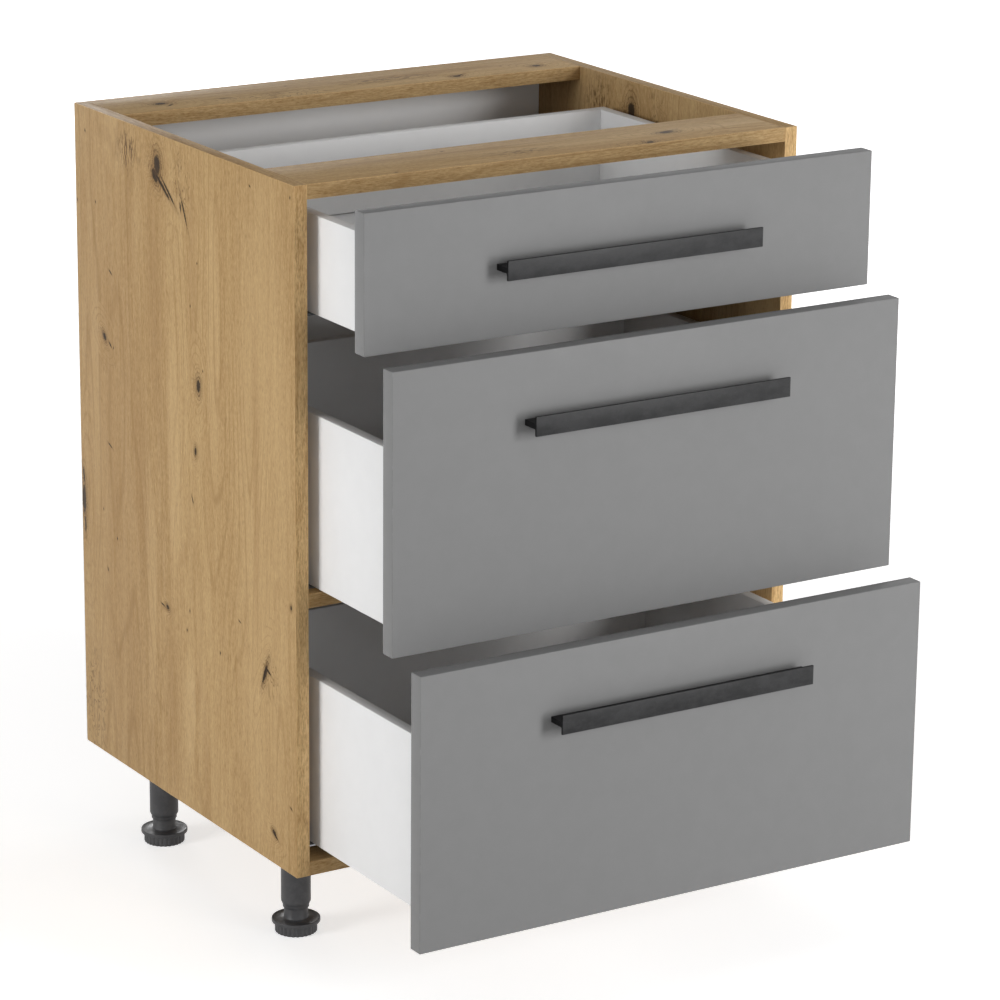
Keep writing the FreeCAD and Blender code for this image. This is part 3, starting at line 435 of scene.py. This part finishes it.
GREY = srgb(133, 133, 133)
WHITE = srgb(242, 242, 242)
finishes = {
    "oak_panels": oak_finish("oak_upright_boards", "z", 0.4, PANEL_MARKS),
    "oak_rails": oak_finish("oak_cross_boards", "x", 3.1, RAIL_MARKS, tone=1.03),
    # The side panels' front and back edges take oak toned lighter: painted light.
    "oak_edge_z_painted_light": oak_finish("oak_upright_edges_painted_light", "z", 23.7, tone=1.3, contrast=1.6),
    "oak_edge_x": oak_finish("oak_cross_edges", "x", 31.3, tone=0.9, contrast=1.4),
    "oak_edge_y": oak_finish("oak_top_edges", "y", 7.3, tone=0.98),
    # The oak boards' eased edges take oak toned lighter: a painted highlight.
    "oak_eased_painted_highlight": oak_finish("oak_eased_edges", "z", 5.9, tone=1.22, rough=0.45),
    "grey": board_finish("grey_lacquer", GREY, 0.5, 0.012),
    "grey_eased": worn_edge_finish(
        "grey_eased_edges", srgb(128, 128, 128), srgb(141, 141, 141), 0.48),
    "white": board_finish("white_melamine", WHITE, 0.36, 0.008),
    "white_eased": worn_edge_finish("white_eased_edges", WHITE, srgb(224, 224, 222), 0.45),
    "raw": raw_board_finish("raw_hardboard"),
    # The fronts' top and bottom edges take a darker grey than their faces.
    "grey_darker_edges": board_finish("grey_darker_long_edges", srgb(120, 120, 120), 0.5, 0.012),
    "black": powder_coat_finish("black_powder_coat", srgb(28, 28, 29), srgb(46, 46, 47), 0.22),
    # The handle's edges and stem take a darker black than its front face: painted shade.
    "black_shaded_edge": powder_coat_finish(
        "black_powder_edges_painted_shade", srgb(15, 15, 16), srgb(24, 24, 25), 0.12),
    "plastic": moulded_finish("black_plastic", srgb(56, 56, 58), srgb(84, 84, 85)),
    # The runners' zinc is kept darker than bright galvanising: painted shade that dims its glint.
    "galvanised_painted_shade": zinc_finish(
        "galvanised_steel", (0.28, 0.29, 0.31, 1), (0.5, 0.51, 0.53, 1)),
    "screw": zinc_finish("zinc_screws", (0.42, 0.42, 0.43, 1), (0.7, 0.7, 0.7, 1)),
    "nylon": nylon_finish("nylon"),
    "beech": beech_finish("pressed_beech"),
}


# ================================================================ shapes
SQUARE_ON = 0.999
SMOOTH_BELOW = 40


def add_piece(name, bm, body, materials, node, smooth_angle=SMOOTH_BELOW):
    """Makes an object of bm that rides on body, stands for a CAD node and wears materials."""
    bmesh.ops.remove_doubles(bm, verts=bm.verts[:], dist=1e-6)
    bmesh.ops.recalc_face_normals(bm, faces=bm.faces[:])
    mesh = bpy.data.meshes.new(name)
    bm.to_mesh(mesh)
    bm.free()
    for polygon in mesh.polygons:
        polygon.use_smooth = True
    mesh.set_sharp_from_angle(angle=math.radians(smooth_angle))
    for material in materials:
        mesh.materials.append(finishes[material])
    piece = bpy.data.objects.new(name, mesh)
    bpy.context.collection.objects.link(piece)
    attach(piece, body)
    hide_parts(node)


def add_block(bm, low, high):
    """A block from low to high in bm; returns its vertices."""
    made = bmesh.ops.create_cube(bm, size=1)["verts"]
    bmesh.ops.scale(bm, vec=Vector(high) - Vector(low), verts=made)
    bmesh.ops.translate(bm, vec=(Vector(high) + Vector(low)) / 2, verts=made)
    return made


def edges_of(verts):
    return list({edge for vert in verts for edge in vert.link_edges})


def ease(bm, edges, radius, segments=2):
    bmesh.ops.bevel(bm, geom=edges, offset=radius, offset_type="OFFSET", segments=segments,
                    profile=0.5, affect="EDGES", material=-1, clamp_overlap=True)


# Which way the raw back of a thin board faces: the back panel's to the rear, a drawer base's down.
BACKS = {"panel": 1, "base": -1}


def add_board(node, body, radius, eased, face, long_edge=None, short_edge=None, back=None,
              raised=0.0):
    """A board with eased edges in the place of a CAD node.

    face, the edges along the longer and the shorter way, the eased edges and, where it differs, the
    back each have a finish. raised lifts the lower edge in mm, for the joint line under a board.
    """
    low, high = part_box(node)
    low = low + UP * raised * MM
    span = high - low
    thin, _, long = sorted(range(3), key=lambda axis: span[axis])
    bm = bmesh.new()
    add_block(bm, low, high)
    ease(bm, bm.edges[:], radius * MM)
    back_turn = BACKS.get(node.rsplit("_", 1)[-1], 0)
    for surface in bm.faces:
        main = max(range(3), key=lambda axis: abs(surface.normal[axis]))
        if abs(surface.normal[main]) < SQUARE_ON:
            surface.material_index = 1
        elif main != thin:
            surface.material_index = 3 if main == long else 2
        elif back and surface.normal[thin] * back_turn > 0:
            surface.material_index = 4
    materials = [face, eased, long_edge or face, short_edge or face] + ([back] if back else [])
    add_piece(node + "_board", bm, body, materials, node)


OAK_EASE = 0.5
FRONT_EASE = 0.7
BOX_EASE = 0.4
THIN_EASE = 0.2
JOINT_LINE = 0.9
for side in SIDES:
    add_board(f"side_panel_{side}", "carcass", OAK_EASE, "oak_eased_painted_highlight", "oak_panels",
              "oak_edge_z_painted_light", "oak_edge_y")
for node in ("bottom_panel", "top_rail_front", "top_rail_rear", "cross_rail"):
    add_board(node, "carcass", OAK_EASE, "oak_eased_painted_highlight", "oak_rails", "oak_edge_x", "oak_edge_y")
add_board("back_panel", "carcass", THIN_EASE, "white_eased", "white", back="raw")
for drawer in DRAWERS:
    body = f"drawer_{drawer}"
    add_board(f"{body}_front", body, FRONT_EASE, "grey_eased", "grey", "grey_darker_edges")
    for part in ("inner_front", "side_left", "side_right"):
        add_board(f"{body}_{part}", body, BOX_EASE, "white_eased", "white")
    add_board(f"{body}_back", body, BOX_EASE, "white_eased", "white",
              raised=JOINT_LINE)
    add_board(f"{body}_base", body, THIN_EASE, "white_eased", "white", back="raw")


# ---------------------------------------------------------------- handles
HANDLE_PLATE = 2.5
HANDLE_STEM = 6.0
HANDLE_EASE = 0.45
FRONT_SKIN = 0.1


def add_handle(drawer):
    """A T-shaped bar: a plate whose back is cut into three strips, the middle one drawn out."""
    node = f"drawer_{drawer}_handle"
    low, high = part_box(node)
    middle = (low.z + high.z) / 2
    plate_back = low.y + HANDLE_PLATE * MM
    bm = bmesh.new()
    add_block(bm, low, (high.x, plate_back, high.z))
    for level in (middle - HANDLE_STEM / 2 * MM, middle + HANDLE_STEM / 2 * MM):
        everything = bm.verts[:] + bm.edges[:] + bm.faces[:]
        bmesh.ops.bisect_plane(bm, geom=everything, plane_co=(0, 0, level), plane_no=UP)
    strips = [surface for surface in bm.faces if surface.normal.y > 0.9]
    strip = min(strips, key=lambda surface: abs(surface.calc_center_median().z - middle))
    drawn = bmesh.ops.extrude_face_region(bm, geom=[strip])["geom"]
    stem_end = [item for item in drawn if isinstance(item, bmesh.types.BMVert)]
    bmesh.ops.translate(bm, vec=(0, high.y - plate_back, 0), verts=stem_end)
    bmesh.ops.delete(bm, geom=[strip], context="FACES_ONLY")
    bmesh.ops.dissolve_limit(bm, angle_limit=0.01, verts=bm.verts[:], edges=bm.edges[:])
    ease(bm, bm.edges[:], HANDLE_EASE * MM, 3)
    # Faces off the front take the darker black: painted shade on the edges and the stem.
    for surface in bm.faces:
        on_front = surface.calc_center_median().y < low.y + FRONT_SKIN * MM
        surface.material_index = 0 if surface.normal.y < -0.9 or on_front else 1
    add_piece(node + "_bar", bm, f"drawer_{drawer}", ["black", "black_shaded_edge"], node)


for drawer in DRAWERS:
    add_handle(drawer)


# ---------------------------------------------------------------- legs and feet
def draw_outline(bm, outline, start):
    """A chain of edges through the (radius, height) points of outline; returns all of it."""
    points = [bm.verts.new(start + Vector((radius, 0, height)) * MM) for radius, height in outline]
    return points + [bm.edges.new(pair) for pair in zip(points, points[1:])]


def add_turned(bm, outline, centre, steps):
    """Turns an outline about the upright axis through centre."""
    bmesh.ops.spin(bm, geom=draw_outline(bm, outline, centre), cent=centre, axis=UP,
                   dvec=(0, 0, 0), angle=math.tau, steps=steps, use_merge=True)


# Outlines as (radius, height), with heights from the leg's top.
LEG_TUBE = (
    (0, -2), (17.4, -2), (17.4, -3.4), (16.4, -4.0), (15.9, -5.0), (15.7, -6.2), (15.7, -64.8),
    (15.55, -66.0), (15.1, -66.9), (14.1, -69.0), (13.9, -69.6), (13.9, -72.1), (13.6, -72.5),
    (11.3, -72.5), (11, -72.2), (11, -14.5), (0, -14.5))
FOOT_BODY = (
    (0, -30.8), (9.2, -30.8), (9.9, -31.6), (9.9, -72.8), (12.3, -72.8), (12.6, -73.1),
    (12.6, -83.3), (13.0, -84.1), (13.9, -84.55), (14.6, -84.95), (23.6, -84.95), (24.3, -84.7),
    (25.1, -84.75), (25.5, -85.1), (25.6, -85.6), (25.6, -88.2), (25.4, -88.7), (25.0, -88.9),
    (21.0, -88.9), (21.0, -89.6), (0, -89.6))
LEG_STEPS = 48
FOOT_STEPS = 60
FOOT_SMOOTH_BELOW = 32
PLATE_SIDE = 58.0
PLATE_THICK = 3.5
PLATE_CORNER = 8.0
PLATE_EASE = 0.5
PLATE_SHARP = 1.2
RIB_TOP = 2.0
RIB_INNER = 14.7
RIB_OUTER = 23.7
RIB_DROP = 20.0
RIB_HALF = 1.2
RIB_TAPER = 8.0


def add_leg(name, centre):
    """The moulded leg: plate with ribs round a hollow tube that steps in to a collar."""
    bm = bmesh.new()
    half = PLATE_SIDE / 2 * MM
    low = centre + Vector((-half, -half, -PLATE_THICK * MM))
    plate = add_block(bm, low, centre + Vector((half, half, 0)))
    upright = [e for e in edges_of(plate) if abs((e.verts[0].co - e.verts[1].co).z) > 1e-4]
    ease(bm, upright, PLATE_CORNER * MM, 4)
    ease(bm, [e for e in bm.edges if e.calc_face_angle(0) > PLATE_SHARP], PLATE_EASE * MM)
    for quarter in range(4):
        turn = Matrix.Rotation(quarter * math.pi / 2, 4, "Z")
        low = Vector((RIB_INNER, -RIB_HALF, -RIB_DROP)) * MM
        rib = add_block(bm, low, Vector((RIB_OUTER, RIB_HALF, -RIB_TOP)) * MM)
        tip = [v for v in rib if v.co.x > RIB_OUTER * MM - 1e-5 and v.co.z < -RIB_DROP * MM + 1e-5]
        bmesh.ops.translate(bm, vec=(-RIB_TAPER * MM, 0, 0), verts=tip)
        bmesh.ops.transform(bm, matrix=Matrix.Translation(centre) @ turn, verts=rib)
    add_turned(bm, LEG_TUBE, centre, LEG_STEPS)
    add_piece(f"leg_{name}_moulding", bm, "carcass", ["plastic"], f"leg_{name}")


FLUTES = 28
FLUTE_POINTS = 5
RING_RADIUS = 22.3
RING_GROOVE = 0.955
RING_TOP = -88.9
RING_BOTTOM = -100.0
# How far each band of the ring goes down, and how much narrower it ends.
RING_BANDS = ((RING_BOTTOM - RING_TOP + 1.0, 1.0), (-0.7, 0.985), (-0.3, 0.95))


def add_ring(bm, centre):
    """The ring that the foot is turned by: a fluted band with an eased lower rim."""
    verts = bmesh.ops.create_circle(
        bm, cap_ends=True, radius=RING_RADIUS * MM, segments=FLUTES * FLUTE_POINTS)["verts"]
    shoulder = (1 + RING_GROOVE) / 2
    for point, factor in ((2, shoulder), (3, RING_GROOVE), (4, shoulder)):
        bmesh.ops.scale(bm, vec=(factor, factor, 1), verts=verts[point::FLUTE_POINTS])
    bmesh.ops.translate(bm, vec=centre + Vector((0, 0, RING_TOP * MM)), verts=verts)
    top = end = verts[0].link_faces[0]
    for drop, shrink in RING_BANDS:
        drawn = bmesh.ops.extrude_face_region(bm, geom=[end], use_keep_orig=end is top)["geom"]
        lower = [item for item in drawn if isinstance(item, bmesh.types.BMVert)]
        bmesh.ops.translate(bm, vec=(0, 0, drop * MM), verts=lower)
        about = Matrix.Translation(-centre)
        bmesh.ops.scale(bm, vec=(shrink, shrink, 1), space=about, verts=lower)
        end = next(item for item in drawn if isinstance(item, bmesh.types.BMFace))


THREAD_RIDGE = ((9.7, 0), (10.6, -0.8), (10.6, -1.3), (9.7, -2.1))
THREAD_TOP = -32.2
THREAD_TURNS = 16
THREAD_STEPS = 24
THREAD_PITCH = 2.4


def add_thread(bm, centre):
    """The coarse thread of the foot's stem, a ridge wound round it."""
    ridge = draw_outline(bm, THREAD_RIDGE, centre + Vector((0, 0, THREAD_TOP * MM)))
    bmesh.ops.spin(bm, geom=ridge, cent=centre, axis=UP, angle=math.tau * THREAD_TURNS,
                   steps=THREAD_TURNS * THREAD_STEPS,
                   dvec=(0, 0, -THREAD_PITCH * MM / THREAD_STEPS), use_merge=False)


def add_foot(name, centre):
    bm = bmesh.new()
    add_turned(bm, FOOT_BODY, centre, FOOT_STEPS)
    add_thread(bm, centre)
    add_ring(bm, centre)
    add_piece(f"foot_{name}_turned", bm, f"foot_{name}", ["plastic"],
              f"foot_{name}", FOOT_SMOOTH_BELOW)


for row in ROWS:
    for side in SIDES:
        low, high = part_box(f"foot_{row}_{side}")
        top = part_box(f"leg_{row}_{side}")[1].z
        centre = Vector(((low.x + high.x) / 2, (low.y + high.y) / 2, top))
        add_leg(f"{row}_{side}", centre)
        add_foot(f"{row}_{side}", centre)


# ---------------------------------------------------------------- screws
def islands(node):
    """The separate solids of a CAD node, each as its own list of corner points."""
    bm = bmesh.new()
    bm.from_mesh(node.data)
    bmesh.ops.remove_doubles(bm, verts=bm.verts[:], dist=1e-6)
    waiting = set(bm.verts)
    found = []
    while waiting:
        group, queue = [], [waiting.pop()]
        while queue:
            vert = queue.pop()
            group.append(vert.co.copy())
            for edge in vert.link_edges:
                other = edge.other_vert(vert)
                if other in waiting:
                    waiting.remove(other)
                    queue.append(other)
        found.append(group)
    bm.free()
    return found


def screw_place(points):
    """Middle of the head's face, way to the tip, length, head height, head and shank radius."""
    low = Vector([min(p[axis] for p in points) for axis in range(3)])
    high = Vector([max(p[axis] for p in points) for axis in range(3)])
    middle = (low + high) / 2
    reach = [max((p - middle)[axis] for p in points) for axis in range(3)]

    def width_at(axis, value):
        near = [p for p in points if abs(p[axis] - value) < 1e-5]
        across = [a for a in range(3) if a != axis]
        return max(math.hypot(*(p[a] - middle[a] for a in across)) for p in near)

    ends = {axis: (width_at(axis, low[axis]), width_at(axis, high[axis])) for axis in range(3)}
    axis = max(range(3), key=lambda a: reach[a])
    head_low = ends[axis][0] > ends[axis][1]
    head = middle.copy()
    head[axis] = low[axis] if head_low else high[axis]
    tip = Vector((0, 0, 0))
    tip[axis] = 1 if head_low else -1
    levels = sorted({round(abs(p[axis] - head[axis]), 6) for p in points})
    head_height = levels[1] if len(levels) > 2 else levels[0]
    shank = width_at(axis, high[axis] if head_low else low[axis])
    return head, tip, 2 * reach[axis], head_height, max(ends[axis]), shank


# Shares of a screw head's radius, then of its height, and last of its shank.
PAN_FLAT = 0.72
SUNK_FLAT = 0.96
CROSS_RIM = 0.2
CROSS_ARM = 0.5
CROSS_WAIST = 0.17
CROSS_NEAR = 0.05
CROSS_FLOOR = 0.7
CROSS_DEPTH = 0.6
PAN_EDGE = 0.5
SUNK_EDGE = 0.15
THREAD_SHARE = 0.86
POINT_WIDTH = 0.25
HEAD_SIDES = 12
HEAD_TURN = math.radians(15)


def cut_cross(bm, face, head_height, head_radius):
    """Outlines a cross in the head's face and draws it down; the flat face over it stays.

    Returns the points of both ends.
    """
    bmesh.ops.inset_individual(bm, faces=[face], thickness=head_radius * CROSS_RIM)
    star = sorted(face.verts, key=lambda v: math.atan2(v.co.y, v.co.x))
    for vert in star:
        corner = abs(abs(vert.co.x) - abs(vert.co.y)) < head_radius * CROSS_NEAR
        reach = head_radius * (CROSS_WAIST if corner else CROSS_ARM)
        vert.co = vert.co.normalized() * reach
    recess = bmesh.ops.extrude_face_region(bm, geom=[face])["geom"]
    sunk = [item for item in recess if isinstance(item, bmesh.types.BMVert)]
    bmesh.ops.translate(bm, vec=(0, 0, -head_height * CROSS_DEPTH), verts=sunk)
    bmesh.ops.scale(bm, vec=(CROSS_FLOOR, CROSS_FLOOR, 1), verts=sunk)
    return set(star) | set(sunk)


def screw_steps(length, head_height, head_radius, shank_radius, sunk):
    """How far each part of a screw goes down, and how much wider or narrower it ends."""
    if sunk:
        head = [(-head_height * SUNK_EDGE, 1 / SUNK_FLAT),
                (-head_height * (1 - SUNK_EDGE), shank_radius / head_radius)]
    else:
        head = [(-head_height * PAN_EDGE, 1 / PAN_FLAT), (-head_height * (1 - PAN_EDGE), 1.0),
                (0, shank_radius / head_radius)]
    shank = length - head_height
    return head + [(-shank * THREAD_SHARE, 1.0), (-shank * (1 - THREAD_SHARE), POINT_WIDTH)]


def add_screw(bm, head, tip, length, head_height, head_radius, shank_radius, sunk):
    """A screw with its head's face at the head point, raised or let in.

    The inset leaves ring round the cross, so the head's side and the shank follow its outline.
    """
    verts = bmesh.ops.create_circle(bm, cap_ends=True, segments=HEAD_SIDES,
                                    radius=head_radius * (SUNK_FLAT if sunk else PAN_FLAT))["verts"]
    bmesh.ops.rotate(bm, cent=(0, 0, 0), matrix=Matrix.Rotation(HEAD_TURN, 3, "Z"), verts=verts)
    face = verts[0].link_faces[0]
    ring = list(face.edges)
    everything = set(verts) | cut_cross(bm, face, head_height, head_radius)
    for drop, factor in screw_steps(length, head_height, head_radius, shank_radius, sunk):
        drawn = bmesh.ops.extrude_edge_only(bm, edges=ring)["geom"]
        lower = [item for item in drawn if isinstance(item, bmesh.types.BMVert)]
        ring = [item for item in drawn if isinstance(item, bmesh.types.BMEdge)
                and all(v in lower for v in item.verts)]
        bmesh.ops.translate(bm, vec=(0, 0, drop), verts=lower)
        bmesh.ops.scale(bm, vec=(factor, factor, 1), verts=lower)
        everything |= set(lower)
    bmesh.ops.holes_fill(bm, edges=ring, sides=0)
    turn = (-tip).to_track_quat("Z", "Y").to_matrix().to_4x4()
    bmesh.ops.transform(bm, matrix=Matrix.Translation(head) @ turn, verts=list(everything))


def add_screws(node, body, sunk):
    """Detailed screws in the places of a CAD node's plain ones."""
    bm = bmesh.new()
    for points in islands(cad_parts[node]):
        add_screw(bm, *screw_place(points), sunk)
    add_piece(node + "_cross", bm, body, ["screw"], node)


add_screws("leg_screws", "carcass", False)
add_screws("runner_screws", "carcass", False)
add_screws("back_panel_screws", "carcass", True)
for drawer in DRAWERS:
    add_screws(f"drawer_{drawer}_screws", f"drawer_{drawer}", False)


# ---------------------------------------------------------------- CAD nodes that stay
def wear(node, finish):
    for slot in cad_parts[node].material_slots:
        slot.material = finishes[finish]


wear("biscuits", "beech")
for drawer in DRAWERS:
    wear(f"drawer_{drawer}_carriages", "nylon")
    for side in SIDES:
        wear(f"cabinet_runner_{drawer}_{side}", "galvanised_painted_shade")
        wear(f"drawer_{drawer}_rail_{side}", "galvanised_painted_shade")


# ================================================================ camera
CAMERA_PLACE = (-2.19670, -3.53612, 1.67199)
CAMERA_TURN = -0.557527
CAMERA_RISE = 0.290093
CAMERA_ROLL = 0.0096433
CAMERA_LENS = 148.289
CAMERA_SENSOR = 36
CAMERA_CLIP = 50


def camera_axes(turn, rise, roll):
    """Right, up and backward directions of a camera that looks along turn from rise above."""
    back = Vector(
        (math.sin(turn) * math.cos(rise), -math.cos(turn) * math.cos(rise), math.sin(rise)))
    right = UP.cross(back).normalized()
    level = Matrix((right, back.cross(right), back)).transposed()
    return level @ Matrix.Rotation(roll, 3, "Z")


def add_camera():
    data = bpy.data.cameras.new("camera")
    data.sensor_width = CAMERA_SENSOR
    data.lens = CAMERA_LENS
    data.clip_end = CAMERA_CLIP
    camera = bpy.data.objects.new("camera", data)
    bpy.context.collection.objects.link(camera)
    axes = camera_axes(CAMERA_TURN, CAMERA_RISE, CAMERA_ROLL).to_4x4()
    camera.matrix_world = Matrix.Translation(CAMERA_PLACE) @ axes
    bpy.context.scene.camera = camera


add_camera()


# ================================================================ light, floor and backdrop
MIDDLE = Vector((0, 0, 0.45))


def add_lamp(name, place, width, height, power):
    """A soft panel of light, width by height in metres, turned to the cabinet."""
    data = bpy.data.lights.new(name, "AREA")
    data.shape = "RECTANGLE"
    data.size = width
    data.size_y = height
    data.energy = power
    lamp = bpy.data.objects.new(name, data)
    lamp.visible_camera = False
    bpy.context.collection.objects.link(lamp)
    aim = (MIDDLE - Vector(place)).to_track_quat("-Z", "Y")
    lamp.matrix_world = Matrix.Translation(place) @ aim.to_matrix().to_4x4()


# Name, place, width, height and watts.
LAMPS = (
    ("key_panel", (2.15, -4.6, 1.4), 1.4, 2.6, 167),
    ("front_panel", (-1.6, -4.4, 1.3), 1.6, 1.6, 22),
    ("left_panel", (-4.0, 0.0, 1.0), 1.4, 2.0, 82),
    ("top_panel", (0, 0, 3.5), 2.5, 2.5, 10),
    ("right_panel", (4.2, 0.5, 1.0), 2.0, 2.0, 68),
    ("rear_panel", (0.9, 4.8, 0.8), 2.0, 1.4, 64))
for lamp in LAMPS:
    add_lamp(*lamp)


def backdrop_rays(tree):
    """1 for rays that see the backdrop, straight or in a mirror, and 0 for light."""
    path = tree.nodes.new("ShaderNodeLightPath")
    total = path.outputs["Is Camera Ray"]
    for output in ("Is Glossy Ray", "Is Transmission Ray"):
        add = tree.nodes.new("ShaderNodeMath")
        add.operation = "MAXIMUM"
        tree.links.new(total, add.inputs[0])
        tree.links.new(path.outputs[output], add.inputs[1])
        total = add.outputs[0]
    return total


WHITE_LIGHT = (1, 1, 1, 1)
DOME_LIGHT = 0.14
BACKDROP_LIGHT = 1.0


def light_world():
    """A white backdrop to look at, and a weaker even light from it on the cabinet."""
    world = bpy.data.worlds.new("studio")
    bpy.context.scene.world = world
    world.use_nodes = True
    tree = world.node_tree
    dome = tree.nodes["Background"]
    dome.inputs["Color"].default_value = WHITE_LIGHT
    dome.inputs["Strength"].default_value = DOME_LIGHT
    seen = tree.nodes.new("ShaderNodeBackground")
    seen.inputs["Color"].default_value = WHITE_LIGHT
    seen.inputs["Strength"].default_value = BACKDROP_LIGHT
    mix = tree.nodes.new("ShaderNodeMixShader")
    tree.links.new(backdrop_rays(tree), mix.inputs[0])
    tree.links.new(dome.outputs[0], mix.inputs[1])
    tree.links.new(seen.outputs[0], mix.inputs[2])
    tree.links.new(mix.outputs[0], tree.nodes["World Output"].inputs["Surface"])


light_world()
bpy.context.scene.view_settings.view_transform = "Standard"


FLOOR_HALF = 9.0
FLOOR_COLOUR = (0.8, 0.8, 0.8, 1)
# How brightly the floor shows of itself up to the first distance and past the second.
FADE_FROM = 0.8
FADE_TO = 2.6
FLOOR_NEAR = 0.62
FLOOR_FAR = 1.0


def add_floor():
    """A pale floor that keeps the shadow near the cabinet and runs out to white."""
    bm = bmesh.new()
    bmesh.ops.create_grid(bm, x_segments=1, y_segments=1, size=FLOOR_HALF)
    mesh = bpy.data.meshes.new("floor")
    bm.to_mesh(mesh)
    bm.free()
    floor_finish = Finish("pale_floor", {"Roughness": 0.9, "Specular IOR Level": 0.0})
    distance = floor_finish.vector("LENGTH", floor_finish.place)
    glow = floor_finish.spread(distance, FADE_FROM, FADE_TO, FLOOR_NEAR, FLOOR_FAR)
    glow = floor_finish.math("MULTIPLY", glow, backdrop_rays(floor_finish.tree))
    floor_finish.feed(floor_finish.shader.inputs["Emission Strength"], glow)
    floor_finish.feed(floor_finish.shader.inputs["Emission Color"], WHITE_LIGHT)
    mesh.materials.append(floor_finish.finish(FLOOR_COLOUR))
    floor = bpy.data.objects.new("floor", mesh)
    bpy.context.collection.objects.link(floor)


add_floor()
